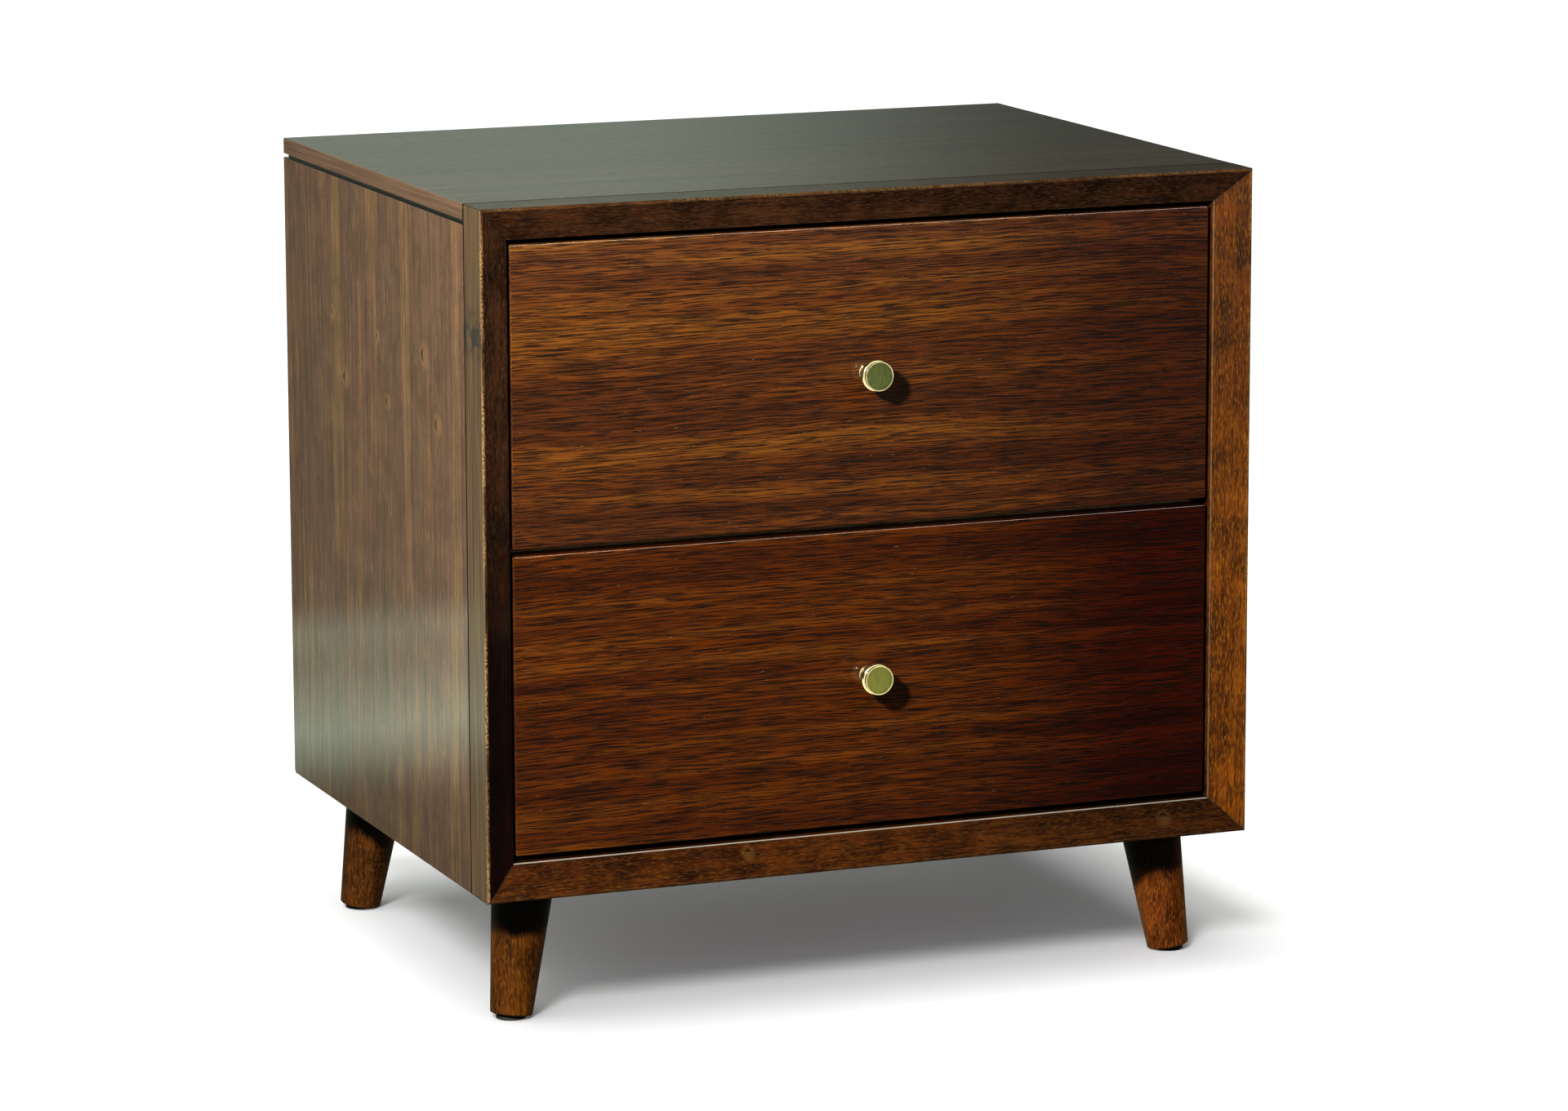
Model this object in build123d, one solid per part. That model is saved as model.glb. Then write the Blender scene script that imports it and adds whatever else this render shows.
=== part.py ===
from build123d import *
import math
import os

# Two-drawer nightstand with a bevelled front frame and splayed legs.
# Millimetres. The front faces -Y, +Z is up, and the origin is on the floor at the middle of
# the whole outline, knobs included.

# ---- Driving dimensions: the case ------------------------------------------------------------
WIDTH = 610.0
CASE_DEPTH = 470.0
CASE_HEIGHT = 508.0
LEG_HEIGHT = 102.0
KNOB_OVERHANG = 7.0

TOP_THICKNESS = 12.0
SIDE_THICKNESS = 18.0
BOTTOM_THICKNESS = 18.0
BACK_THICKNESS = 5.0
BACK_RABBET = 9.0
BACK_PLAY = 0.5
GROOVE_HEIGHT = 3.0
GROOVE_DEPTH = 4.0
SIDE_CORNER_RADIUS = 3.5
EDGE_EASE = 0.8
JOINT_EASE = 1.2

# ---- Driving dimensions: the front frame -----------------------------------------------------
FRAME_FACE = 25.0
FRAME_DEPTH = 37.0
FRAME_BEVEL_DEPTH = 15.0
FRAME_LAND = 2.0
FRAME_OUTER_RADIUS = 1.2
FRAME_INNER_RADIUS = 1.0
MITRE_ANGLE = 45.0
SPLINE_LENGTH = 12.0
SPLINE_WIDTH = 16.0
SPLINE_THICKNESS = 4.0
SPLINE_SETBACK = 28.0

# ---- Driving dimensions: the drawers ---------------------------------------------------------
FRONT_SIDE_GAP = 3.0
FRONT_TOP_GAP = 4.0
FRONT_MIDDLE_GAP = 5.0
FRONT_BOTTOM_GAP = 4.5
FRONT_SETBACK = 17.0
FRONT_THICKNESS = 19.0
FRONT_CORNER_RADIUS = 1.4
FRONT_FACE_RADIUS = 1.1
BOX_WALL = 12.0
BOX_HEIGHT = 180.0
BOX_LENGTH = 400.0
BOX_RAISE = 14.0
BOX_EDGE_RADIUS = 2.0
BOX_BOTTOM_THICKNESS = 5.0
BOX_BOTTOM_RAISE = 10.0
BOX_GROOVE_DEPTH = 6.0
GROOVE_PLAY = 0.2
TAIL_COUNT = 5
TAIL_ROOT = 20.0
TAIL_TIP = 26.0

# ---- Driving dimensions: the inner parts of the case -------------------------------------------
DIVIDER_THICKNESS = 18.0
DIVIDER_DEPTH = 60.0
STRETCHER_HEIGHT = 60.0
STRETCHER_THICKNESS = 18.0
BLOCK_LEG = 25.0
BLOCK_LENGTH = 60.0
BLOCK_INSET = 70.0
DOWEL_RADIUS = 4.0
DOWEL_LENGTH = 28.0
DOWEL_IN_TOP = 8.0
DOWEL_IN_FRAME = 9.5
DOWEL_PLAY = 0.05
DOWEL_INSET = 45.0
STILE_DOWEL_SHARES = (0.15, 0.5, 0.85)
RAIL_DOWEL_SHARES = (-0.6, 0.0, 0.6)

# ---- Driving dimensions: the ball slides -------------------------------------------------------
SLIDE_LENGTH = 400.0
SLIDE_THICKNESS = 12.7
SLIDE_START = 38.0
SLIDE_HALF_HEIGHT = 22.5
SLIDE_FLANGE_END = 11.5
SLIDE_LIP = 2.7
SHEET = 1.2
BALL_RADIUS = 1.75
BALL_PLAY = 0.05
BALLS_PER_RACE = 4
MIDDLE_WEB_START = 2.7
MIDDLE_FLANGE_END = 11.0
DRAWER_FLANGE_START = 4.9
OUTER_BALL_OFFSET = 7.0
INNER_BALL_OFFSET = 8.2
CAGE_SHEET = 0.5
CAGE_LENGTH = 200.0
CAGE_START = 100.0
CAGE_HOLE_RADIUS = 1.95
CAGE_HOLE_CUT = 2.0
OUTER_CAGE_WEB = 1.7
OUTER_CAGE_END = 9.5
INNER_CAGE_WEB = 4.15
INNER_CAGE_END = 10.5
SPACER_HEIGHT = 50.0
SLIDE_SCREW_PLACES = (40.0, 200.0, 360.0)

# ---- Driving dimensions: legs, knobs and fasteners ---------------------------------------------
LEG_TOP_RADIUS = 23.5
LEG_FOOT_RADIUS = 15.8
LEG_SIDE_INSET = 50.0
LEG_FRONT_INSET = 66.0
LEG_BACK_INSET = 58.0
LEG_SPLAY_X = 13.5
LEG_SPLAY_Y = 8.5
LEG_FOOT_EASE = 1.5
FOOT_CENTRE_HEIGHT = 2.6
PAD_RADIUS = 11.0
PAD_REACH = 10.0
PLATE_SIZE = 56.0
PLATE_THICKNESS = 2.5
PLATE_CORNER_RADIUS = 5.0
PLATE_SCREW_OFFSET = 22.5
BOLT_RADIUS = 4.0
BOLT_IN_LEG = 35.0
BOLT_ABOVE_PLATE = 14.0
BOLT_HOLE_RADIUS = 6.0
BOLT_HOLE_ROOM = 1.0
FIT_PLAY = 0.05

KNOB_LENGTH = 24.0
KNOB_HEAD_RADIUS = 11.0
KNOB_REAR_RIM_RADIUS = 11.6
KNOB_RISE = 2.5
KNOB_BASE_RADIUS = 7.0
KNOB_NECK_RADIUS = 4.8
KNOB_GROOVE_RADIUS = 9.7
KNOB_RIM = 1.2
KNOB_HEAD_LENGTH = 7.0
KNOB_FACE_RADIUS = 9.9
KNOB_FACE_RECESS = 0.6
KNOB_FACE_DOME = 0.4
KNOB_BASE_LENGTH = 1.6
KNOB_SCREW_RADIUS = 2.0
KNOB_SCREW_DEPTH = 9.0
KNOB_BORE_ROOM = 1.0

SCREW_RADIUS = 1.95
SCREW_HEAD_RADIUS = 3.6
SCREW_HEAD_HEIGHT = 2.2
SCREW_HEAD_EASE = 0.7
COUNTERSINK_RADIUS = 3.5
CASE_SCREW_LENGTH = 18.0
BOX_SCREW_LENGTH = 9.0
FRONT_SCREW_LENGTH = 24.0
PLATE_SCREW_LENGTH = 13.0
BACK_SCREW_RADIUS = 1.5
BACK_SCREW_HEAD_RADIUS = 3.0
BACK_SCREW_HEAD_HEIGHT = 1.8
BACK_SCREW_LENGTH = 18.0
BACK_SCREW_UP_SHARES = (0.12, 0.37, 0.62, 0.87)
BACK_SCREW_ACROSS_SHARES = (-0.6, 0.0, 0.6)
FRONT_SCREW_SPAN = 360.0
FRONT_SCREW_RISE = 110.0

# ---- Derived places ----------------------------------------------------------------------------
FRONT = -(CASE_DEPTH - KNOB_OVERHANG) / 2
BACK = FRONT + CASE_DEPTH
CASE_LOW = LEG_HEIGHT
CASE_TOP = LEG_HEIGHT + CASE_HEIGHT
HALF_WIDTH = WIDTH / 2
PANEL_FRONT = FRONT + FRAME_DEPTH
SIDE_TOP = CASE_TOP - TOP_THICKNESS
SIDE_INNER = HALF_WIDTH - SIDE_THICKNESS
BACK_INNER = BACK - BACK_THICKNESS
FLOOR_PANEL_TOP = CASE_LOW + FRAME_FACE
FLOOR_PANEL_LOW = FLOOR_PANEL_TOP - BOTTOM_THICKNESS
PLATE_LOW = FLOOR_PANEL_LOW - PLATE_THICKNESS
OPENING_HALF = HALF_WIDTH - FRAME_FACE

OPENING_HEIGHT = CASE_HEIGHT - 2 * FRAME_FACE
GAPS = FRONT_TOP_GAP + FRONT_MIDDLE_GAP + FRONT_BOTTOM_GAP
FRONT_HEIGHT = (OPENING_HEIGHT - GAPS) / 2
FRONT_HALF_WIDTH = OPENING_HALF - FRONT_SIDE_GAP
LOWER_FRONT_LOW = CASE_LOW + FRAME_FACE + FRONT_BOTTOM_GAP
UPPER_FRONT_LOW = LOWER_FRONT_LOW + FRONT_HEIGHT + FRONT_MIDDLE_GAP
DRAWER_LOW = {"top_drawer": UPPER_FRONT_LOW, "bottom_drawer": LOWER_FRONT_LOW}
DRAWER_FACE = FRONT + FRONT_SETBACK
BOX_FRONT = DRAWER_FACE + FRONT_THICKNESS
BOX_BACK = BOX_FRONT + BOX_LENGTH
BOX_HALF = OPENING_HALF - SLIDE_THICKNESS
BOX_INNER_HALF = BOX_HALF - BOX_WALL
BOX_INNER_FRONT = BOX_FRONT + BOX_WALL
BOX_INNER_BACK = BOX_BACK - BOX_WALL
SLIDE_FRONT = FRONT + SLIDE_START
SLIDE_CENTRE_RISE = BOX_RAISE + BOX_HEIGHT / 2

MIDDLE_HALF_HEIGHT = SLIDE_HALF_HEIGHT - SHEET - 2 * (BALL_RADIUS + BALL_PLAY)
DRAWER_MEMBER_HALF_HEIGHT = MIDDLE_HALF_HEIGHT - SHEET - 2 * (BALL_RADIUS + BALL_PLAY)
OUTER_RACE = SLIDE_HALF_HEIGHT - SHEET - BALL_PLAY - BALL_RADIUS
INNER_RACE = MIDDLE_HALF_HEIGHT - SHEET - BALL_PLAY - BALL_RADIUS

SIDES = {"left": -1, "right": 1}
ENDS = {"front": -1, "back": 1}


def block(x_low, x_high, y_low, y_high, z_low, z_high):
    """A rectangular solid between two opposite corners."""
    centre = ((x_low + x_high) / 2, (y_low + y_high) / 2, (z_low + z_high) / 2)
    return Pos(*centre) * Box(x_high - x_low, y_high - y_low, z_high - z_low)


def mirrored(shape, side):
    """The shape itself for the right side, or its mirror image for the left side."""
    return shape if side > 0 else mirror(shape, about=Plane.YZ)


def rod(start, direction, radius, length):
    """A cylinder that starts at a point and runs along a direction."""
    base = Plane(origin=start, z_dir=direction)
    return base * Cylinder(radius, length, align=(Align.CENTER, Align.CENTER, Align.MIN))


def turned(start, direction, outline):
    """A solid turned about an axis; the outline holds (radius, distance along the axis)."""
    profile = Plane.XZ * make_face(outline)
    return Plane(origin=start, z_dir=direction) * revolve(profile, axis=Axis.Z)


def group(shapes):
    """Several separate solids as one node."""
    solids = []
    for shape in shapes:
        solids.extend(shape.solids())
    return Compound(solids)


# ---- Fasteners -----------------------------------------------------------------------------------
def pan_screw(start, direction, length, radius=SCREW_RADIUS):
    """A pan-head screw; start is where the head's underside meets the surface."""
    shank = rod(start, direction, radius, length)
    head = rod(start, Vector(*direction) * -1, SCREW_HEAD_RADIUS, SCREW_HEAD_HEIGHT)
    top_edge = head.edges().filter_by(GeomType.CIRCLE).sort_by_distance(start)[-1]
    return shank + fillet(top_edge, SCREW_HEAD_EASE)


def flat_screw(start, direction, length, radius, head_radius, head_height):
    """A countersunk screw; start is the middle of the head's flat top."""
    outline = Polyline(
        (0, 0),
        (head_radius, 0),
        (radius, head_height),
        (radius, length),
        (0, length),
        close=True,
    )
    return turned(start, direction, outline)


def flat_hole(start, direction, length, radius, head_radius, head_height):
    """The countersunk hole for a flat screw, with running room all round."""
    room = FIT_PLAY
    outline = Polyline(
        (0, 0),
        (head_radius + room, 0),
        (radius + room, head_height + room),
        (radius + room, length + room),
        (0, length + room),
        close=True,
    )
    return turned(start, direction, outline)


def pilot(start, direction, length, radius):
    """The round hole for a screw's shank."""
    return rod(start, direction, radius + FIT_PLAY, length + FIT_PLAY)


# ---- Front frame ---------------------------------------------------------------------------------
def frame_member(length):
    """One mitred member, lying along X with its outer face down and its front at y = 0."""
    section = Plane.YZ * make_face(
        Polyline(
            (0, 0),
            (0, FRAME_LAND),
            (FRAME_BEVEL_DEPTH, FRAME_FACE),
            (FRAME_DEPTH, FRAME_FACE),
            (FRAME_DEPTH, JOINT_EASE),
            (FRAME_DEPTH - JOINT_EASE, 0),
            close=True,
        )
    )
    outer = section.vertices().sort_by_distance((0, 0, 0))[0]
    section = fillet(outer, FRAME_OUTER_RADIUS)
    inner = section.vertices().sort_by_distance((0, FRAME_BEVEL_DEPTH, FRAME_FACE))[0]
    section = fillet(inner, FRAME_INNER_RADIUS)
    bar = extrude(section, amount=length / 2, both=True)
    mitres = Plane.XZ * make_face(
        Polyline(
            (-length / 2, 0),
            (length / 2, 0),
            (length / 2 - FRAME_FACE, FRAME_FACE),
            (-length / 2 + FRAME_FACE, FRAME_FACE),
            close=True,
        )
    )
    return bar & extrude(mitres, amount=-2 * FRAME_DEPTH, both=True)


def frame_splines():
    """A loose tongue across each mitre of the front frame."""
    splines = []
    for side_x in (-1, 1):
        for side_z in (-1, 1):
            x = side_x * (HALF_WIDTH - FRAME_FACE / 2)
            z = CASE_LOW + CASE_HEIGHT / 2 + side_z * (CASE_HEIGHT - FRAME_FACE) / 2
            turn = Rot(0, -MITRE_ANGLE * side_x * side_z, 0)
            tongue = Box(SPLINE_LENGTH, SPLINE_THICKNESS, SPLINE_WIDTH)
            splines.append(Pos(x, FRONT + SPLINE_SETBACK, z) * turn * tongue)
    return splines


# ---- Legs ----------------------------------------------------------------------------------------
class LegPlace:
    """Where one leg stands: its axis runs from the case's underside out to the foot."""

    def __init__(self, side_x, side_y):
        x = side_x * (HALF_WIDTH - LEG_SIDE_INSET)
        y = FRONT + LEG_FRONT_INSET if side_y < 0 else BACK - LEG_BACK_INSET
        drop = LEG_HEIGHT - FOOT_CENTRE_HEIGHT
        lean = drop / LEG_HEIGHT
        self.top = Vector(x, y, CASE_LOW)
        shift = Vector(side_x * LEG_SPLAY_X * lean, side_y * LEG_SPLAY_Y * lean, -drop)
        self.foot = self.top + shift
        self.length = shift.length
        self.up = shift * (-1 / shift.length)
        rise = (PLATE_LOW - self.foot.Z) / self.up.Z
        self.plate_centre = self.foot + self.up * rise
        self.rise = rise


def leg(place):
    """A tapered round leg with a square-cut, eased foot and a top cut level for its plate."""
    taper = (LEG_TOP_RADIUS - LEG_FOOT_RADIUS) / place.length
    reach = place.rise + LEG_TOP_RADIUS
    outline = Polyline(
        (0, 0),
        (LEG_FOOT_RADIUS, 0),
        (LEG_FOOT_RADIUS + taper * reach, reach),
        (0, reach),
        close=True,
    )
    post = turned(place.foot, place.up, outline)
    foot_edge = post.edges().filter_by(GeomType.CIRCLE).sort_by_distance(place.foot)[0]
    post = fillet(foot_edge, LEG_FOOT_EASE)
    x, y = place.plate_centre.X, place.plate_centre.Y
    room = 2 * LEG_TOP_RADIUS
    above = block(x - room, x + room, y - room, y + room, PLATE_LOW, PLATE_LOW + room)
    bolt_start = place.plate_centre - place.up * (BOLT_IN_LEG + FIT_PLAY)
    bore = rod(bolt_start, place.up, BOLT_RADIUS + FIT_PLAY, BOLT_IN_LEG + LEG_TOP_RADIUS)
    return post - above - bore


def foot_pad(place):
    """A wedge-shaped pad under the foot, level underneath so that the leg stands flat."""
    disc = rod(place.foot, place.up * -1, PAD_RADIUS, PAD_REACH)
    floor_room = block(-WIDTH, WIDTH, -WIDTH, WIDTH, -WIDTH, 0)
    return disc - floor_room


def hanger_bolt(place):
    """The bolt that holds the leg to its plate, along the leg's own axis."""
    start = place.plate_centre - place.up * BOLT_IN_LEG
    return rod(start, place.up, BOLT_RADIUS, BOLT_IN_LEG + BOLT_ABOVE_PLATE)


def plate_screw_points(place):
    """Where the four screws pass through a leg plate, at the plate's lower face."""
    points = []
    for offset_x in (-PLATE_SCREW_OFFSET, PLATE_SCREW_OFFSET):
        for offset_y in (-PLATE_SCREW_OFFSET, PLATE_SCREW_OFFSET):
            x = place.plate_centre.X + offset_x
            y = place.plate_centre.Y + offset_y
            points.append((x, y, PLATE_LOW))
    return points


def leg_plate(place):
    """A flat steel plate with a slanted bore for the hanger bolt and four screw holes."""
    outline = RectangleRounded(PLATE_SIZE, PLATE_SIZE, PLATE_CORNER_RADIUS)
    corner = Pos(place.plate_centre.X, place.plate_centre.Y, PLATE_LOW)
    plate = corner * extrude(outline, amount=PLATE_THICKNESS)
    start = place.plate_centre - place.up * BOLT_IN_LEG
    plate -= rod(start, place.up, BOLT_RADIUS + FIT_PLAY, 2 * BOLT_IN_LEG)
    for point in plate_screw_points(place):
        plate -= pilot(point, (0, 0, 1), PLATE_SCREW_LENGTH, SCREW_RADIUS)
    return plate


# ---- Ball slides: all drawn for the right-hand side, standing off the spacer's face ------------
def slide_block(off_low, off_high, y_low, y_high, z_low, z_high):
    """A block whose X is measured from the spacer's face towards the drawer."""
    return block(OPENING_HALF - off_high, OPENING_HALF - off_low, y_low, y_high, z_low, z_high)


def channel(off_low, off_high, half_height, sheet, opens_inwards, y_low, y_high, z_mid):
    """A C-shaped sheet channel; it opens towards the drawer or towards the case side."""
    outer = slide_block(off_low, off_high, y_low, y_high, z_mid - half_height, z_mid + half_height)
    if opens_inwards:
        hollow_low, hollow_high = off_low + sheet, off_high
    else:
        hollow_low, hollow_high = off_low, off_high - sheet
    inner_half = half_height - sheet
    low, high = z_mid - inner_half, z_mid + inner_half
    return outer - slide_block(hollow_low, hollow_high, y_low, y_high, low, high)


def slide_screw_points(offset, z_mid):
    """Where a slide member's screws stand, at a distance from the spacer's face."""
    x = OPENING_HALF - offset
    return [(x, SLIDE_FRONT + place, z_mid) for place in SLIDE_SCREW_PLACES]


def case_member(z_mid):
    """The outer channel, with a lip along each flange and countersunk screw holes."""
    y_high = SLIDE_FRONT + SLIDE_LENGTH
    rail = channel(
        0, SLIDE_FLANGE_END, SLIDE_HALF_HEIGHT, SHEET, True, SLIDE_FRONT, y_high, z_mid
    )
    lip_low = SLIDE_FLANGE_END - SHEET
    lip_root = SLIDE_HALF_HEIGHT - SHEET
    for sign in (-1, 1):
        ends = sorted((z_mid + sign * lip_root, z_mid + sign * (lip_root - SLIDE_LIP)))
        rail += slide_block(lip_low, SLIDE_FLANGE_END, SLIDE_FRONT, y_high, *ends)
    for point in slide_screw_points(SHEET, z_mid):
        rail -= flat_hole(
            point, (1, 0, 0), CASE_SCREW_LENGTH, SCREW_RADIUS, COUNTERSINK_RADIUS, SHEET
        )
    return rail


def middle_member(z_mid):
    """The middle channel, which carries balls outside and inside its flanges."""
    y_high = SLIDE_FRONT + SLIDE_LENGTH
    return channel(
        MIDDLE_WEB_START,
        MIDDLE_FLANGE_END,
        MIDDLE_HALF_HEIGHT,
        SHEET,
        True,
        SLIDE_FRONT,
        y_high,
        z_mid,
    )


def drawer_member(z_mid):
    """The inner channel, screwed to the drawer box and open towards the case side."""
    y_high = SLIDE_FRONT + SLIDE_LENGTH
    rail = channel(
        DRAWER_FLANGE_START,
        SLIDE_THICKNESS,
        DRAWER_MEMBER_HALF_HEIGHT,
        SHEET,
        False,
        SLIDE_FRONT,
        y_high,
        z_mid,
    )
    for point in slide_screw_points(SLIDE_THICKNESS - SHEET, z_mid):
        rail -= pilot(point, (-1, 0, 0), BOX_SCREW_LENGTH, SCREW_RADIUS)
    return rail


def ball_cage(web, flange_end, race, ball_offset, z_mid):
    """A thin cage and its two rows of balls, as separate solids."""
    y_low = SLIDE_FRONT + CAGE_START
    y_high = y_low + CAGE_LENGTH
    half_height = race + CAGE_SHEET / 2
    cage = channel(web, flange_end, half_height, CAGE_SHEET, True, y_low, y_high, z_mid)
    balls = []
    pitch = CAGE_LENGTH / BALLS_PER_RACE
    for index in range(BALLS_PER_RACE):
        y = y_low + (index + 0.5) * pitch
        for sign in (-1, 1):
            centre = (OPENING_HALF - ball_offset, y, z_mid + sign * race)
            cage -= Pos(*centre) * Cylinder(CAGE_HOLE_RADIUS, CAGE_HOLE_CUT)
            balls.append(Pos(*centre) * Sphere(BALL_RADIUS))
    return [cage] + balls


# ---- Case panels ---------------------------------------------------------------------------------
def top_panel():
    """The top, butted against the frame, rabbeted at the rear for the back panel."""
    panel = block(-HALF_WIDTH, HALF_WIDTH, PANEL_FRONT, BACK, SIDE_TOP, CASE_TOP)
    seam = panel.faces().sort_by(Axis.Y)[0].edges().filter_by(Axis.X).sort_by(Axis.Z)[-1]
    panel = chamfer(seam, JOINT_EASE)
    upper = panel.faces().sort_by(Axis.Z)[-1].edges()
    outer = upper.filter_by(Axis.Y) + upper.filter_by(Axis.X).sort_by(Axis.Y)[-1:]
    panel = fillet(outer, EDGE_EASE)
    rabbet_top = SIDE_TOP + TOP_THICKNESS / 2
    return panel - block(-SIDE_INNER, SIDE_INNER, BACK_INNER, BACK, SIDE_TOP, rabbet_top)


def side_panel():
    """The right side panel, with the shadow groove along its top and a rear rabbet."""
    panel = block(SIDE_INNER, HALF_WIDTH, PANEL_FRONT, BACK, CASE_LOW, SIDE_TOP)
    outside = panel.faces().sort_by(Axis.X)[-1].edges()
    seam = outside.filter_by(Axis.Z).sort_by(Axis.Y)[0]
    panel = chamfer(seam, JOINT_EASE)
    corner = panel.edges().filter_by(Axis.X).sort_by_distance((HALF_WIDTH, BACK, CASE_LOW))[0]
    panel = fillet(corner, SIDE_CORNER_RADIUS)
    groove_side = HALF_WIDTH - GROOVE_DEPTH
    groove_low = SIDE_TOP - GROOVE_HEIGHT
    panel -= block(groove_side, HALF_WIDTH, PANEL_FRONT, BACK, groove_low, SIDE_TOP)
    rabbet_side = SIDE_INNER + BACK_RABBET
    return panel - block(SIDE_INNER, rabbet_side, BACK_INNER, BACK, FLOOR_PANEL_LOW, SIDE_TOP)


def back_screw_points():
    """Screws round the edge of the back panel, into the sides, the bottom and the stretcher."""
    points = []
    side_x = SIDE_INNER + BACK_RABBET / 2
    for side in (-1, 1):
        for share in BACK_SCREW_UP_SHARES:
            z = FLOOR_PANEL_TOP + share * (SIDE_TOP - FLOOR_PANEL_TOP)
            points.append((side * side_x, BACK, z))
    for share in BACK_SCREW_ACROSS_SHARES:
        x = share * SIDE_INNER
        points.append((x, BACK, FLOOR_PANEL_LOW + BOTTOM_THICKNESS / 2))
        points.append((x, BACK, SIDE_TOP - STRETCHER_HEIGHT / 2))
    return points


def dowels():
    """Dowels from the top into the sides, and from the front frame into the sides and bottom."""
    pins = []
    for side in (-1, 1):
        x = side * (SIDE_INNER + (SIDE_THICKNESS - GROOVE_DEPTH) / 2)
        for y in (PANEL_FRONT + DOWEL_INSET, (PANEL_FRONT + BACK) / 2, BACK - DOWEL_INSET):
            start = (x, y, SIDE_TOP + DOWEL_IN_TOP - DOWEL_LENGTH)
            pins.append((start, (0, 0, 1)))
        frame_x = side * (SIDE_INNER + SIDE_THICKNESS / 2)
        for share in STILE_DOWEL_SHARES:
            start = (frame_x, PANEL_FRONT - DOWEL_IN_FRAME, CASE_LOW + share * CASE_HEIGHT)
            pins.append((start, (0, 1, 0)))
    for share in RAIL_DOWEL_SHARES:
        z = FLOOR_PANEL_LOW + BOTTOM_THICKNESS / 2
        pins.append(((share * SIDE_INNER, PANEL_FRONT - DOWEL_IN_FRAME, z), (0, 1, 0)))
    return pins


def corner_block(side, y_middle):
    """A triangular glue block between the top and a side."""
    section = Plane.XZ * make_face(
        Polyline(
            (SIDE_INNER, SIDE_TOP),
            (SIDE_INNER - BLOCK_LEG, SIDE_TOP),
            (SIDE_INNER, SIDE_TOP - BLOCK_LEG),
            close=True,
        )
    )
    prism = Pos(0, y_middle, 0) * extrude(section, amount=BLOCK_LENGTH / 2, both=True)
    return mirrored(prism, side)


# ---- Drawers -------------------------------------------------------------------------------------
def tails(x_low, x_high, y_root, y_tip, z_low):
    """A row of dovetails, narrow at y_root and wide at y_tip, through a board's thickness."""
    pitch = BOX_HEIGHT / TAIL_COUNT
    shapes = []
    for index in range(TAIL_COUNT):
        z = z_low + (index + 0.5) * pitch
        outline = Polyline(
            (y_root, z - TAIL_ROOT / 2),
            (y_tip, z - TAIL_TIP / 2),
            (y_tip, z + TAIL_TIP / 2),
            (y_root, z + TAIL_ROOT / 2),
            close=True,
        )
        tail = extrude(Plane.YZ * make_face(outline), amount=x_high - x_low)
        shapes.append(Pos(x_low, 0, 0) * tail)
    return shapes


def knob(z_mid):
    """A turned knob: flared base, waisted neck, and a grooved head with a recessed face."""
    head = KNOB_LENGTH - KNOB_HEAD_LENGTH
    rim_back = head + KNOB_RIM
    rim_front = KNOB_LENGTH - KNOB_RIM
    groove_middle = (rim_back + rim_front) / 2
    face = KNOB_LENGTH - KNOB_FACE_RECESS
    bore = KNOB_SCREW_RADIUS + FIT_PLAY
    bore_end = KNOB_SCREW_DEPTH + KNOB_BORE_ROOM
    neck_middle = (KNOB_BASE_LENGTH + head) / 2
    dome_radius = (KNOB_FACE_RADIUS**2 + KNOB_FACE_DOME**2) / (2 * KNOB_FACE_DOME)
    half_way = KNOB_FACE_RADIUS / 2
    dome_top = face + KNOB_FACE_DOME
    dome_half_way = dome_top - dome_radius + math.sqrt(dome_radius**2 - half_way**2)
    outline = [
        Line((bore, 0), (KNOB_BASE_RADIUS, 0)),
        Line((KNOB_BASE_RADIUS, 0), (KNOB_BASE_RADIUS, KNOB_BASE_LENGTH)),
        ThreePointArc(
            (KNOB_BASE_RADIUS, KNOB_BASE_LENGTH),
            (KNOB_NECK_RADIUS, neck_middle - KNOB_BASE_LENGTH),
            (KNOB_HEAD_RADIUS - KNOB_RIM, head),
        ),
        Line((KNOB_HEAD_RADIUS - KNOB_RIM, head), (KNOB_REAR_RIM_RADIUS, head)),
        Line((KNOB_REAR_RIM_RADIUS, head), (KNOB_REAR_RIM_RADIUS, rim_back)),
        ThreePointArc(
            (KNOB_REAR_RIM_RADIUS, rim_back),
            (KNOB_GROOVE_RADIUS, groove_middle),
            (KNOB_HEAD_RADIUS, rim_front),
        ),
        Line((KNOB_HEAD_RADIUS, rim_front), (KNOB_HEAD_RADIUS, KNOB_LENGTH)),
        Line((KNOB_HEAD_RADIUS, KNOB_LENGTH), (KNOB_FACE_RADIUS, KNOB_LENGTH)),
        Line((KNOB_FACE_RADIUS, KNOB_LENGTH), (KNOB_FACE_RADIUS, face)),
        ThreePointArc((KNOB_FACE_RADIUS, face), (half_way, dome_half_way), (0, dome_top)),
        Line((0, dome_top), (0, bore_end)),
        Line((0, bore_end), (bore, bore_end)),
        Line((bore, bore_end), (bore, 0)),
    ]
    return turned((0, DRAWER_FACE, z_mid), (0, -1, 0), outline)


def drawer_front(low):
    """The veneered front, with small rounded corners and a softened outer face."""
    board = block(
        -FRONT_HALF_WIDTH, FRONT_HALF_WIDTH, DRAWER_FACE, BOX_FRONT, low, low + FRONT_HEIGHT
    )
    board = fillet(board.edges().filter_by(Axis.Y), FRONT_CORNER_RADIUS)
    return fillet(board.faces().sort_by(Axis.Y)[0].edges(), FRONT_FACE_RADIUS)


def box_bottom(box_low, play):
    """The box's bottom where it sits in its groove, or the groove itself when play is added."""
    low = box_low + BOX_BOTTOM_RAISE
    reach = BOX_GROOVE_DEPTH - GROOVE_PLAY + play
    return block(
        -BOX_INNER_HALF - reach,
        BOX_INNER_HALF + reach,
        BOX_INNER_FRONT - reach,
        BOX_INNER_BACK + reach,
        low - play / 2,
        low + BOX_BOTTOM_THICKNESS + play / 2,
    )


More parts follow.
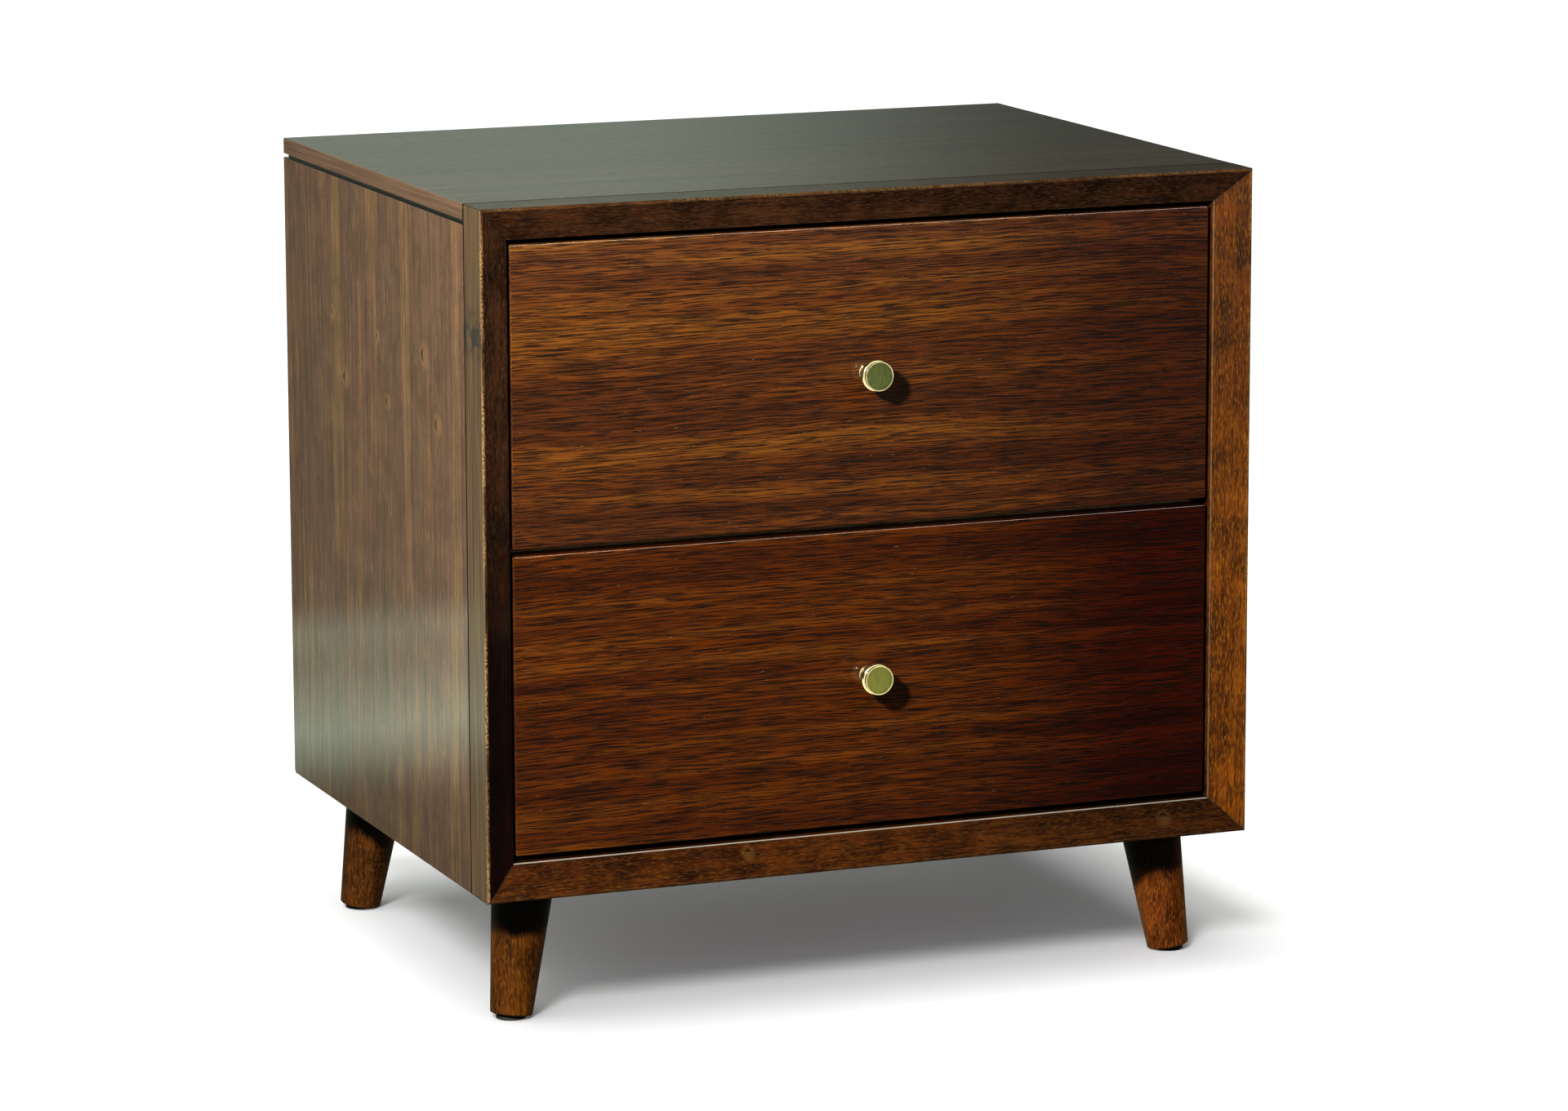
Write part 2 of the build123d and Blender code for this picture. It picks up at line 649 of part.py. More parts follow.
def box_side(box_low, joints):
    """The right side of a drawer box, with its dovetails and the holes for the slide's screws."""
    box_top = box_low + BOX_HEIGHT
    board = block(BOX_INNER_HALF, BOX_HALF, BOX_INNER_FRONT, BOX_INNER_BACK, box_low, box_top)
    board = fillet(board.edges().filter_by(Axis.Y).sort_by(Axis.Z)[-2:], BOX_EDGE_RADIUS)
    board = board + joints - box_bottom(box_low, GROOVE_PLAY)
    for point in slide_screw_points(SLIDE_THICKNESS, box_low + BOX_HEIGHT / 2):
        board -= pilot(point, (-1, 0, 0), BOX_SCREW_LENGTH, SCREW_RADIUS)
    return board


def front_screw_points(box_low):
    """Four screws from inside the box into the front."""
    points = []
    for side_x in (-1, 1):
        for side_z in (-1, 1):
            x = side_x * FRONT_SCREW_SPAN / 2
            z = box_low + BOX_HEIGHT / 2 + side_z * FRONT_SCREW_RISE / 2
            points.append((x, BOX_INNER_FRONT, z))
    return points


def drawer_parts(low):
    """Every piece of one drawer that slides with it; low is its front's lower edge."""
    parts = {}
    box_low = low + BOX_RAISE
    box_top = box_low + BOX_HEIGHT
    rail_z = low + SLIDE_CENTRE_RISE
    knob_z = low + FRONT_HEIGHT / 2 + KNOB_RISE

    right_tails = tails(BOX_INNER_HALF, BOX_HALF, BOX_INNER_FRONT, BOX_FRONT, box_low)
    right_tails += tails(BOX_INNER_HALF, BOX_HALF, BOX_INNER_BACK, BOX_BACK, box_low)
    left_tails = [mirrored(tail, -1) for tail in right_tails]
    right_side = box_side(box_low, right_tails)
    cuts = right_tails + left_tails + [box_bottom(box_low, GROOVE_PLAY)]
    box_front = block(-BOX_HALF, BOX_HALF, BOX_FRONT, BOX_INNER_FRONT, box_low, box_top) - cuts
    box_back = block(-BOX_HALF, BOX_HALF, BOX_INNER_BACK, BOX_BACK, box_low, box_top) - cuts
    front = drawer_front(low)

    screws = []
    for point in front_screw_points(box_low):
        screws.append(pan_screw(point, (0, -1, 0), FRONT_SCREW_LENGTH))
        hole = pilot(point, (0, -1, 0), FRONT_SCREW_LENGTH, SCREW_RADIUS)
        box_front -= hole
        front -= hole
    for sign in (-1, 1):
        for point in slide_screw_points(SLIDE_THICKNESS - SHEET, rail_z):
            screws.append(mirrored(pan_screw(point, (-1, 0, 0), BOX_SCREW_LENGTH), sign))

    knob_start = (0, BOX_INNER_FRONT, knob_z)
    knob_screw_length = BOX_WALL + FRONT_THICKNESS + KNOB_SCREW_DEPTH
    knob_hole = pilot(knob_start, (0, -1, 0), knob_screw_length, KNOB_SCREW_RADIUS)
    parts["knob"] = knob(knob_z)
    parts["knob_screw"] = pan_screw(
        knob_start, (0, -1, 0), knob_screw_length, KNOB_SCREW_RADIUS
    )
    parts["front"] = front - knob_hole
    parts["box_front"] = box_front - knob_hole
    parts["box_back"] = box_back
    parts["bottom"] = box_bottom(box_low, 0)
    parts["right_side"] = right_side
    parts["left_side"] = mirrored(right_side, -1)
    parts["screws"] = group(screws)
    return parts


# ---- Assembly ------------------------------------------------------------------------------------
# A frame member's turn about Y from lying along the bottom, its length, and the frame's size
# across it.
FRAME_MEMBERS = {
    "frame_bottom_rail": (0, WIDTH, CASE_HEIGHT),
    "frame_left_stile": (2 * MITRE_ANGLE, CASE_HEIGHT, WIDTH),
    "frame_top_rail": (4 * MITRE_ANGLE, WIDTH, CASE_HEIGHT),
    "frame_right_stile": (-2 * MITRE_ANGLE, CASE_HEIGHT, WIDTH),
}
CASE_PANELS = ("top_panel", "left_side_panel", "right_side_panel", "bottom_panel")
BACK_SCREWED = ("back_panel", "left_side_panel", "right_side_panel", "bottom_panel", "rear_stretcher")


def add_frame(nodes):
    """The four mitred members and the loose tongues across their mitres."""
    frame_middle = Pos(0, FRONT, CASE_LOW + CASE_HEIGHT / 2)
    splines = frame_splines()
    for name, (turn, length, across) in FRAME_MEMBERS.items():
        member = Pos(0, 0, -across / 2) * frame_member(length)
        nodes[name] = frame_middle * Rot(0, turn, 0) * member - splines
    nodes["frame_splines"] = group(splines)


def add_case(nodes):
    """The case's panels, the divider, the stretcher and the glue blocks."""
    nodes["top_panel"] = top_panel()
    nodes["right_side_panel"] = side_panel()
    nodes["left_side_panel"] = mirrored(side_panel(), -1)
    nodes["bottom_panel"] = block(
        -SIDE_INNER, SIDE_INNER, PANEL_FRONT, BACK_INNER, FLOOR_PANEL_LOW, FLOOR_PANEL_TOP
    )
    back_half = SIDE_INNER + BACK_RABBET - BACK_PLAY
    back_low = FLOOR_PANEL_LOW + BACK_PLAY
    back_high = SIDE_TOP - BACK_PLAY
    nodes["back_panel"] = block(-back_half, back_half, BACK_INNER, BACK, back_low, back_high)
    divider_middle = UPPER_FRONT_LOW - FRONT_MIDDLE_GAP / 2
    nodes["drawer_divider"] = block(
        -SIDE_INNER,
        SIDE_INNER,
        PANEL_FRONT,
        PANEL_FRONT + DIVIDER_DEPTH,
        divider_middle - DIVIDER_THICKNESS / 2,
        divider_middle + DIVIDER_THICKNESS / 2,
    )
    nodes["rear_stretcher"] = block(
        -SIDE_INNER,
        SIDE_INNER,
        BACK_INNER - STRETCHER_THICKNESS,
        BACK_INNER,
        SIDE_TOP - STRETCHER_HEIGHT,
        SIDE_TOP,
    )
    blocks = []
    for side in SIDES.values():
        for y_middle in (PANEL_FRONT + BLOCK_INSET, BACK - 2 * BLOCK_INSET):
            blocks.append(corner_block(side, y_middle))
    nodes["corner_blocks"] = group(blocks)


def add_dowels(nodes):
    """The dowels, and their holes in the panels and the frame."""
    pins = []
    for start, along in dowels():
        pins.append(rod(start, along, DOWEL_RADIUS, DOWEL_LENGTH))
        hole_start = Vector(*start) - Vector(*along) * DOWEL_PLAY
        hole = rod(hole_start, along, DOWEL_RADIUS + DOWEL_PLAY, DOWEL_LENGTH + 2 * DOWEL_PLAY)
        for name in (*CASE_PANELS, *FRAME_MEMBERS):
            nodes[name] -= hole
    nodes["case_dowels"] = group(pins)


def add_back_screws(nodes):
    """The screws of the back panel, and their holes."""
    screws = []
    size = (BACK_SCREW_LENGTH, BACK_SCREW_RADIUS, BACK_SCREW_HEAD_RADIUS, BACK_SCREW_HEAD_HEIGHT)
    for point in back_screw_points():
        screws.append(flat_screw(point, (0, -1, 0), *size))
        hole = flat_hole(point, (0, -1, 0), *size)
        for name in BACK_SCREWED:
            nodes[name] -= hole
    nodes["back_panel_screws"] = group(screws)


def add_legs(nodes):
    """The legs with their plates, bolts, screws and pads, and the holes in the bottom panel."""
    bolts, plates, screws, pads = [], [], [], []
    for end_name, end in ENDS.items():
        for side_name, side in SIDES.items():
            place = LegPlace(side, end)
            nodes[f"{end_name}_{side_name}_leg"] = leg(place)
            bolts.append(hanger_bolt(place))
            plates.append(leg_plate(place))
            pads.append(foot_pad(place))
            bolt_hole = (BOLT_HOLE_RADIUS, BOLT_ABOVE_PLATE + BOLT_HOLE_ROOM)
            nodes["bottom_panel"] -= rod(place.plate_centre, place.up, *bolt_hole)
            for point in plate_screw_points(place):
                screws.append(pan_screw(point, (0, 0, 1), PLATE_SCREW_LENGTH))
                hole = pilot(point, (0, 0, 1), PLATE_SCREW_LENGTH, SCREW_RADIUS)
                nodes["bottom_panel"] -= hole
    nodes["leg_hanger_bolts"] = group(bolts)
    nodes["leg_plates"] = group(plates)
    nodes["leg_plate_screws"] = group(screws)
    nodes["foot_pads"] = group(pads)


def slide_spacer(z_mid):
    """The strip that brings the right slide flush with the frame's opening."""
    half_height = SPACER_HEIGHT / 2
    y_high = SLIDE_FRONT + SLIDE_LENGTH
    z_low, z_high = z_mid - half_height, z_mid + half_height
    return block(OPENING_HALF, SIDE_INNER, SLIDE_FRONT, y_high, z_low, z_high)


def both_sides(shapes):
    """Each shape, and its mirror image on the left."""
    return [mirrored(shape, side) for side in SIDES.values() for shape in shapes]


def add_slides(nodes):
    """The slides, the spacers and screws that hold them, and the drawers that they carry."""
    spacers, case_screws = [], []
    screw_size = (CASE_SCREW_LENGTH, SCREW_RADIUS, COUNTERSINK_RADIUS, SHEET)
    for drawer, low in DRAWER_LOW.items():
        z_mid = low + SLIDE_CENTRE_RISE
        spacer = slide_spacer(z_mid)
        for point in slide_screw_points(SHEET, z_mid):
            case_screws.append(flat_screw(point, (1, 0, 0), *screw_size))
            hole = flat_hole(point, (1, 0, 0), *screw_size)
            spacer -= hole
            for side_name, side in SIDES.items():
                nodes[f"{side_name}_side_panel"] -= mirrored(hole, side)
        spacers.append(spacer)
        members = {
            "case_member": case_member(z_mid),
            "middle_member": middle_member(z_mid),
            "drawer_member": drawer_member(z_mid),
        }
        for member_name, member in members.items():
            for side_name, side in SIDES.items():
                nodes[f"{drawer}_{side_name}_{member_name}"] = mirrored(member, side)
        outer = ball_cage(OUTER_CAGE_WEB, OUTER_CAGE_END, OUTER_RACE, OUTER_BALL_OFFSET, z_mid)
        inner = ball_cage(INNER_CAGE_WEB, INNER_CAGE_END, INNER_RACE, INNER_BALL_OFFSET, z_mid)
        nodes[f"{drawer}_outer_ball_cages"] = group(both_sides(outer))
        nodes[f"{drawer}_inner_ball_cages"] = group(both_sides(inner))
        for name, shape in drawer_parts(low).items():
            nodes[f"{drawer}_{name}"] = shape
    for side_name, side in SIDES.items():
        nodes[f"{side_name}_slide_spacers"] = group([mirrored(spacer, side) for spacer in spacers])
    nodes["case_slide_screws"] = group(both_sides(case_screws))


nodes = {}
add_frame(nodes)
add_case(nodes)
add_dowels(nodes)
add_back_screws(nodes)
add_legs(nodes)
add_slides(nodes)

os.makedirs("parts", exist_ok=True)
for name, shape in nodes.items():
    export_step(shape, f"parts/{name}.step")
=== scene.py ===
from collections import namedtuple
import math

import bpy
from mathutils import Euler, Matrix, Vector


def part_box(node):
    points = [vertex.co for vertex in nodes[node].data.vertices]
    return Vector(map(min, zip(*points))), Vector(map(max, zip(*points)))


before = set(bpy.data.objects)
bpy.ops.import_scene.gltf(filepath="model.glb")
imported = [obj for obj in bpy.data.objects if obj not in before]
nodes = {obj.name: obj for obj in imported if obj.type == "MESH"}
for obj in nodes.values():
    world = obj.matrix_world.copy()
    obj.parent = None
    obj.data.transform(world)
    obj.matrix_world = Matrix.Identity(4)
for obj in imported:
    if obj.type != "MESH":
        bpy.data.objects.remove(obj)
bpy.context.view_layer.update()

# The looks of a two-drawer walnut nightstand: one procedural material for each kind of surface,
# a white studio floor and the lights. Metres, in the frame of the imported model: the front faces
# -Y, +Z is up and the floor is at z = 0.

MM = 0.001

# ---- Places read from the model ----------------------------------------------------------------
case_low, case_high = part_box("frame_left_stile")
top_low, top_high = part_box("top_panel")
case_right = top_high.x
back_y = top_high.y
SIDES = ("left", "right")
ENDS = ("front", "back")

# ---- The camera --------------------------------------------------------------------------------
# It stands in front, to the left and above the top. Metres, degrees, and millimetres for the lens.
CAMERA_PLACE = (-1.6798, -4.2452, 1.1660)
CAMERA_AZIMUTH = -21.817
CAMERA_ELEVATION = 10.775
CAMERA_ROLL = -0.159
CAMERA_LENS = 138.04
CAMERA_SENSOR = 36.0


def make_camera():
    data = bpy.data.cameras.new("camera")
    data.lens = CAMERA_LENS
    data.sensor_width = CAMERA_SENSOR
    camera = bpy.data.objects.new("camera", data)
    aim = Euler((math.radians(90 - CAMERA_ELEVATION), 0, math.radians(CAMERA_AZIMUTH)))
    turn = aim.to_matrix() @ Matrix.Rotation(math.radians(CAMERA_ROLL), 3, "Z")
    camera.matrix_world = Matrix.Translation(CAMERA_PLACE) @ turn.to_4x4()
    bpy.context.scene.collection.objects.link(camera)
    bpy.context.scene.camera = camera


# ---- Node graphs in a few words ----------------------------------------------------------------
# The Principled shader's sockets that are the same all over a surface.
SOCKETS = {
    "metallic": "Metallic",
    "specular_ior_level": "Specular IOR Level",
    "coat_weight": "Coat Weight",
    "coat_roughness": "Coat Roughness",
}


class Graph:
    """One material's nodes. Each call adds a node and gives back the socket that it puts out."""

    def __init__(self, tree):
        self.tree = tree
        self.tree.nodes.clear()

    def add(self, kind, **settings):
        node = self.tree.nodes.new(kind)
        for name, value in settings.items():
            setattr(node, name, value)
        return node

    def feed(self, socket, value):
        if isinstance(value, bpy.types.NodeSocket):
            self.tree.links.new(value, socket)
        elif value is not None:
            socket.default_value = value

    def math(self, operation, a, b=None, c=None, clamp=False):
        node = self.add("ShaderNodeMath", operation=operation, use_clamp=clamp)
        for socket, value in zip(node.inputs, (a, b, c)):
            self.feed(socket, value)
        return node.outputs[0]

    def vector(self, x, y, z):
        node = self.add("ShaderNodeCombineXYZ")
        for socket, value in zip(node.inputs, (x, y, z)):
            self.feed(socket, value)
        return node.outputs[0]

    def parts(self, vector):
        node = self.add("ShaderNodeSeparateXYZ")
        self.feed(node.inputs[0], vector)
        return node.outputs[0], node.outputs[1], node.outputs[2]

    def noise(self, vector, scale=1.0, detail=2.0, roughness=0.5):
        node = self.add("ShaderNodeTexNoise", noise_dimensions="3D")
        self.feed(node.inputs["Vector"], vector)
        node.inputs["Scale"].default_value = scale
        node.inputs["Detail"].default_value = detail
        node.inputs["Roughness"].default_value = roughness
        return node.outputs["Fac"]

    def between(self, value, low, high, start=0.0, end=1.0):
        """start below low, end above high, and a smooth change between them."""
        node = self.add("ShaderNodeMapRange", interpolation_type="SMOOTHSTEP")
        limits = {"From Min": low, "From Max": high, "To Min": start, "To Max": end}
        for name, number in limits.items():
            node.inputs[name].default_value = number
        self.feed(node.inputs["Value"], value)
        return node.outputs["Result"]

    def ramp(self, value, stops):
        """A colour from a value: stops are (place, colour) pairs."""
        node = self.add("ShaderNodeValToRGB")
        band = node.color_ramp
        while len(band.elements) < len(stops):
            band.elements.new(0.5)
        for element, (place, colour) in zip(band.elements, stops):
            element.position = place
            element.color = (*colour, 1.0)
        self.feed(node.inputs[0], value)
        return node.outputs[0]

    def mix(self, share, a, b, blend="MIX"):
        node = self.add("ShaderNodeMix", data_type="RGBA", blend_type=blend)
        self.feed(node.inputs[0], share)
        for socket, value in ((node.inputs[6], a), (node.inputs[7], b)):
            self.feed(socket, (*value, 1.0) if isinstance(value, tuple) else value)
        return node.outputs[2]

    def place(self):
        """Where the point is in the model's own frame, which goes with a moving part."""
        return self.add("ShaderNodeTexCoord").outputs["Object"]

    def bump(self, height, distance, strength=1.0):
        node = self.add("ShaderNodeBump")
        node.inputs["Distance"].default_value = distance
        node.inputs["Strength"].default_value = strength
        self.feed(node.inputs["Height"], height)
        return node.outputs["Normal"]

    def surface(self, colour, roughness, normal=None, **plain):
        """The Principled shader and the output. plain sets sockets that are the same all over."""
        shader = self.add("ShaderNodeBsdfPrincipled")
        self.feed(shader.inputs["Base Color"], colour)
        self.feed(shader.inputs["Roughness"], roughness)
        self.feed(shader.inputs["Normal"], normal)
        for name, value in plain.items():
            shader.inputs[SOCKETS[name]].default_value = value
        self.finish(shader.outputs[0])

    def finish(self, shader):
        """Makes a shader the material's surface."""
        output = self.add("ShaderNodeOutputMaterial")
        self.tree.links.new(shader, output.inputs["Surface"])


def new_graph(name):
    material = bpy.data.materials.new(name)
    material.use_nodes = True
    return material, Graph(material.node_tree)


# ---- Wood --------------------------------------------------------------------------------------
# Marks drawn out along the grain: how many there are to a metre along and across it, the noise
# levels between which they fade in, their colour, how well they cover, and how deep they are cut.
Streak = namedtuple("Streak", "along across low high colour share cut")
# A knot: its place along and across the grain, and its size.
Knot = namedtuple("Knot", "along across size")
# A change of tone: beyond end, on one axis, the colour is multiplied by tint.
Fade = namedtuple("Fade", "axis start end tint")

DARK = (0.012, 0.006, 0.004)
BLACK = (0.003, 0.003, 0.003)
# Pale wood where edges are rubbed through, which also stands in for the highlights on them.
RUBBED_WOOD_AND_HIGHLIGHT = (0.50, 0.31, 0.12)
# The painted highlight on the inner lip of the front frame.
LIP_PAINTED_HIGHLIGHT = (0.60, 0.56, 0.47)
SMUDGE_GREY = (0.050, 0.048, 0.042)

# Shapes of the part that the colours follow.
GROOVE_HEIGHT = 3.0 * MM
FRAME_FACE = 25.0 * MM
FRAME_BEVEL_DEPTH = 15.0 * MM

# How far the dark lines of the joints and mitres reach to each side, and how dark they are, and
# how dark the painted shade on the frame's inner faces is.
JOINT_HALF = 1.2 * MM
MITRE_HALF = 0.7 * MM
MITRE_SHARE = 0.8
REVEAL_SHARE = 0.85

# The radius that an eased edge's wear and painted highlight are found with, and between which
# distances from an arris the rubbed wood, which also paints in a highlight, and the lip's painted
# highlight fade out.
WEAR_AND_HIGHLIGHT_RADIUS = 1.6 * MM
ARRIS_REACH = (0.9 * MM, 2.3 * MM)
LIP_REACH = (0.6 * MM, 1.4 * MM)

# Waves and marks to a metre, along the grain and across it.
DRIFT_WAVES = (2.2, 5.0)
RIPPLE_WAVES = (34.0, 60.0)
EDGE_STRIPES = (7.0, 420.0)
MOTTLE_SPOTS = 30.0
WORN_AND_HIGHLIT_PATCHES = 90.0
RUBBED_AND_HIGHLIT_PATCHES = 14.0
RUBBED_AND_HIGHLIT_SPECKS = 700.0
SMUDGE_CLOUDS = 110.0

# A knot, in shares of its size: the grain that it bends, its heart and its halo, each along and
# across the grain. Then how far it pushes the grain and how softly, how much its heart bends, how
# far its halo lies beside it, and where heart and halo fade out, with 1 on the ellipse's rim.
KNOT_REACH = (3.5, 1.0)
KNOT_HEART = (0.95, 0.38)
KNOT_HALO = (2.0, 2.1)
KNOT_PUSH = -0.5
PUSH_SOFTNESS = 0.6
HEART_BEND = 0.6
HALO_OFFSET = 0.9
HEART_FADE = (0.3, 1.4)
HALO_FADE = (0.0, 1.2)
HEART_COLOUR = (0.030, 0.018, 0.011)
HEART_SHARE = 0.80
HALO_COLOUR = (0.48, 0.29, 0.11)
HALO_SHARE = 0.42

# Between which depths the other cut fades in, under the case's outer sides, and the painted
# shade, beyond the frame's face and under the groove's lower edge.
OUTSIDE_DEPTHS = (0.8 * MM, 0.2 * MM)
REVEAL_DEPTHS = (0.3 * MM, 0.7 * MM)
GROOVE_DEPTHS = (0.3 * MM, 0.1 * MM)

# The smudge on the stile's side: how far it reaches up and down, and how dark it is.
SMUDGE_REACH = (6.0 * MM, 24.0 * MM)
SMUDGE_SHARE = 0.8

# How much a cut mark roughens the finish.
CUT_ROUGHNESS = 0.12
# Each kind of mark on a board has its own place in the noise.
FIRST_SEED = 3.0
SEED_STEP = 4.0

# The kinds of mark: lines, hairs and pale flecks, which also paint in glints, for the drawer
# fronts, golden and dark flecks for solid wood, soft lines for that and for the plain boards, and
# pores for the plain boards.
FINE_LINES = Streak(14, 820, 0.46, 0.61, (0.022, 0.007, 0.003), 0.56, 0.35)
HAIR_LINES = Streak(40, 1400, 0.50, 0.58, (0.008, 0.003, 0.002), 0.82, 1.0)
PALE_FLECKS_AND_GLINTS = Streak(150, 1500, 0.75, 0.78, (0.62, 0.46, 0.28), 0.45, 0.0)
GOLD_FLECKS = Streak(190, 1500, 0.50, 0.70, (0.50, 0.25, 0.054), 0.54, 0.0)
DARK_FLECKS = Streak(45, 700, 0.48, 0.62, (0.018, 0.006, 0.002), 0.58, 0.5)
SOFT_LINES = Streak(14, 520, 0.48, 0.68, (0.045, 0.020, 0.009), 0.35, 0.35)
SMALL_PORES = Streak(110, 1500, 0.56, 0.64, DARK, 0.40, 1.0)

# What wood() takes, and what each is when it isn't given. bands is how many broad bands there are
# to a metre along and across the grain. joint is the Y of a seam, and groove the Z of the groove,
# under which shade is painted. edge is the other cut on the case's outer sides: its grain, its
# stops and the smudge's height. shade and fades multiply the colour, and on the frame, the legs and
# the fronts they paint in light and shade as well. The wear, arris and lip amounts paint rubbed
# edges that also stand in for highlights, and the lip's painted highlight.
WOOD = {
    "shift": 0.0,
    "wander": 0.030,
    "ripple": 0.0018,
    "bands": (1.5, 50.0),
    "detail": 4.0,
    "streaks": (SOFT_LINES, SMALL_PORES),
    "mottle": 0.0,
    "knots": (),
    "shade": None,
    "fades": (),
    "edge": None,
    "joint": None,
    "mitres": False,
    "groove": None,
    "wear": 0.0,
    "arris": 0.0,
    "lip": 0.0,
    "roughness": 0.38,
    "bump": 0.12 * MM,
    "specular": 0.15,
    "coat": 0.6,
    "coat_roughness": 0.14,
}


def grain_places(g, grain, shift):
    """Where a point is along the grain, across it and through the board. grain is three letters,
    such as XZY for grain that runs along X on a board that faces Y."""
    axes = dict(zip("XYZ", g.parts(g.place())))
    along, across, depth = (axes[letter] for letter in grain)
    return g.math("ADD", along, shift), across, depth


def grain_noise(g, places, along, across, seed=0.0, detail=2.0, roughness=0.5):
    """Noise drawn out along the grain, with so many marks to a metre along and across it."""
    spots = g.vector(
        g.math("MULTIPLY_ADD", places[0], along, seed),
        g.math("MULTIPLY", places[1], across),
        g.math("MULTIPLY", places[2], across),
    )
    return g.noise(spots, detail=detail, roughness=roughness)


def pushed(g, places, by):
    """The same places, moved across the grain."""
    return places[0], g.math("ADD", places[1], by), places[2]


def wandering(g, places, wander, ripple):
    """Grain that drifts over the length of a board and ripples over a few centimetres."""
    for waves, detail, height in ((DRIFT_WAVES, 2.0, wander), (RIPPLE_WAVES, 1.0, ripple)):
        along = g.math("MULTIPLY", places[0], waves[0])
        across = g.math("MULTIPLY", places[1], waves[1])
        level = g.noise(g.vector(along, across, places[2]), detail=detail)
        by = g.math("MULTIPLY", g.math("SUBTRACT", level, 0.5), height)
        places = pushed(g, places, by)
    return places


def ellipse(g, dx, dy, size, length, width):
    """0 in the middle of an ellipse and 1 on its rim; length and width are shares of size."""
    a = g.math("MULTIPLY", dx, 1.0 / (size * length))
    b = g.math("MULTIPLY", dy, 1.0 / (size * width))
    return g.math("ADD", g.math("MULTIPLY", a, a), g.math("MULTIPLY", b, b))


def flow_round_knots(g, places, knots):
    """Bends the grain round each knot. Gives the bent places and the knots' hearts and halos."""
    heart, halo = 0.0, 0.0
    for knot in knots:
        dx = g.math("SUBTRACT", places[0], knot.along)
        dy = g.math("SUBTRACT", places[1], knot.across)
        near = ellipse(g, dx, dy, knot.size, *KNOT_REACH)
        push = g.math("DIVIDE", dy, g.math("ADD", near, PUSH_SOFTNESS))
        bent = g.math("MULTIPLY_ADD", g.math("MULTIPLY", dx, dx), HEART_BEND / knot.size, dy)
        core = g.between(ellipse(g, dx, bent, knot.size, *KNOT_HEART), *HEART_FADE, 1.0, 0.0)
        heart = g.math("MAXIMUM", heart, core)
        beside = g.math("ADD", dy, knot.size * HALO_OFFSET)
        glow = g.between(ellipse(g, dx, beside, knot.size, *KNOT_HALO), *HALO_FADE, 1.0, 0.0)
        halo = g.math("MAXIMUM", halo, glow)
        places = pushed(g, places, g.math("MULTIPLY", push, KNOT_PUSH))
    return places, heart, halo


def multiplied(g, colour, tint):
    """The colour times a tint, channel by channel."""
    return g.mix(1.0, colour, tint, "MULTIPLY")


def mottled(g, colour, amount):
    """Cloudy lighter and darker patches, as an open-pored wood takes its stain."""
    spots = g.noise(g.place(), MOTTLE_SPOTS, detail=3.0, roughness=0.65)
    shade = g.between(spots, 0.3, 0.7, 1.0 - amount, 1.0 + amount)
    return multiplied(g, colour, g.vector(shade, shade, shade))


def edge_grain(g, colour, grain, stops, smudge):
    """Another cut of the wood on the outer sides of the case, with a dark smudge at one height."""
    places = grain_places(g, grain, 0.0)
    stripes = grain_noise(g, places, *EDGE_STRIPES, seed=5.0, detail=4.0, roughness=0.6)
    cut = g.ramp(stripes, stops)
    if smudge:
        away = g.math("ABSOLUTE", g.math("SUBTRACT", g.parts(g.place())[2], smudge))
        cloudy = g.between(g.noise(g.place(), SMUDGE_CLOUDS, detail=3.0), 0.36, 0.56)
        dark = g.math("MULTIPLY", g.between(away, *SMUDGE_REACH, SMUDGE_SHARE, 0.0), cloudy)
        cut = g.mix(dark, cut, SMUDGE_GREY)
    outwards = g.math("ABSOLUTE", g.parts(g.place())[0])
    outside = g.between(outwards, *(case_right - depth for depth in OUTSIDE_DEPTHS))
    return g.mix(outside, colour, cut)


def line_near(g, distance, half):
    """1 on a line and 0 beside it, where distance is from its middle and half is half its width."""
    return g.between(g.math("ABSOLUTE", distance), half * 0.6, half * 1.4, 1.0, 0.0)


def frame_insets(g):
    """How far a point is from the nearer side of the case, and from its top or bottom edge."""
    x, _, z = g.parts(g.place())
    inwards = g.math("SUBTRACT", case_right, g.math("ABSOLUTE", x))
    from_bottom = g.math("SUBTRACT", z, case_low.z)
    from_top = g.math("SUBTRACT", case_high.z, z)
    return inwards, g.math("MINIMUM", from_bottom, from_top)


def dark_lines(g, colour, look):
    """Dark lines in the joints and in the mitres, and painted shade on the frame's inner faces and
    in the groove under the top."""
    _, y, z = g.parts(g.place())
    if look["joint"] is not None:
        line = line_near(g, g.math("SUBTRACT", y, look["joint"]), JOINT_HALF)
        colour = g.mix(line, colour, BLACK)
    if look["mitres"]:
        insets = frame_insets(g)
        line = line_near(g, g.math("SUBTRACT", *insets), MITRE_HALF)
        colour = g.mix(g.math("MULTIPLY", line, MITRE_SHARE), colour, BLACK)
        # Painted shade on the frame's inner faces, beyond their face.
        low, high = (FRAME_FACE + depth for depth in REVEAL_DEPTHS)
        reveal_painted_shade = g.between(g.math("MINIMUM", *insets), low, high, 0.0, REVEAL_SHARE)
        colour = g.mix(reveal_painted_shade, colour, BLACK)
    # Painted shade in the groove under the top.
    if look["groove"] is not None:
        inside = g.between(z, *(look["groove"] - depth for depth in GROOVE_DEPTHS))
        colour = g.mix(inside, colour, BLACK)
    return colour


def edge_wear(g):
    """1 on an eased edge and 0 on the flat: how far a rounded normal leans from the real one."""
    bevel = g.add("ShaderNodeBevel", samples=4)
    bevel.inputs["Radius"].default_value = WEAR_AND_HIGHLIGHT_RADIUS
    flat = g.add("ShaderNodeNewGeometry").outputs["Normal"]
    lean = g.add("ShaderNodeVectorMath", operation="DOT_PRODUCT")
    g.feed(lean.inputs[0], bevel.outputs[0])
    g.feed(lean.inputs[1], flat)
    return g.between(lean.outputs["Value"], 0.80, 0.99, 1.0, 0.0)


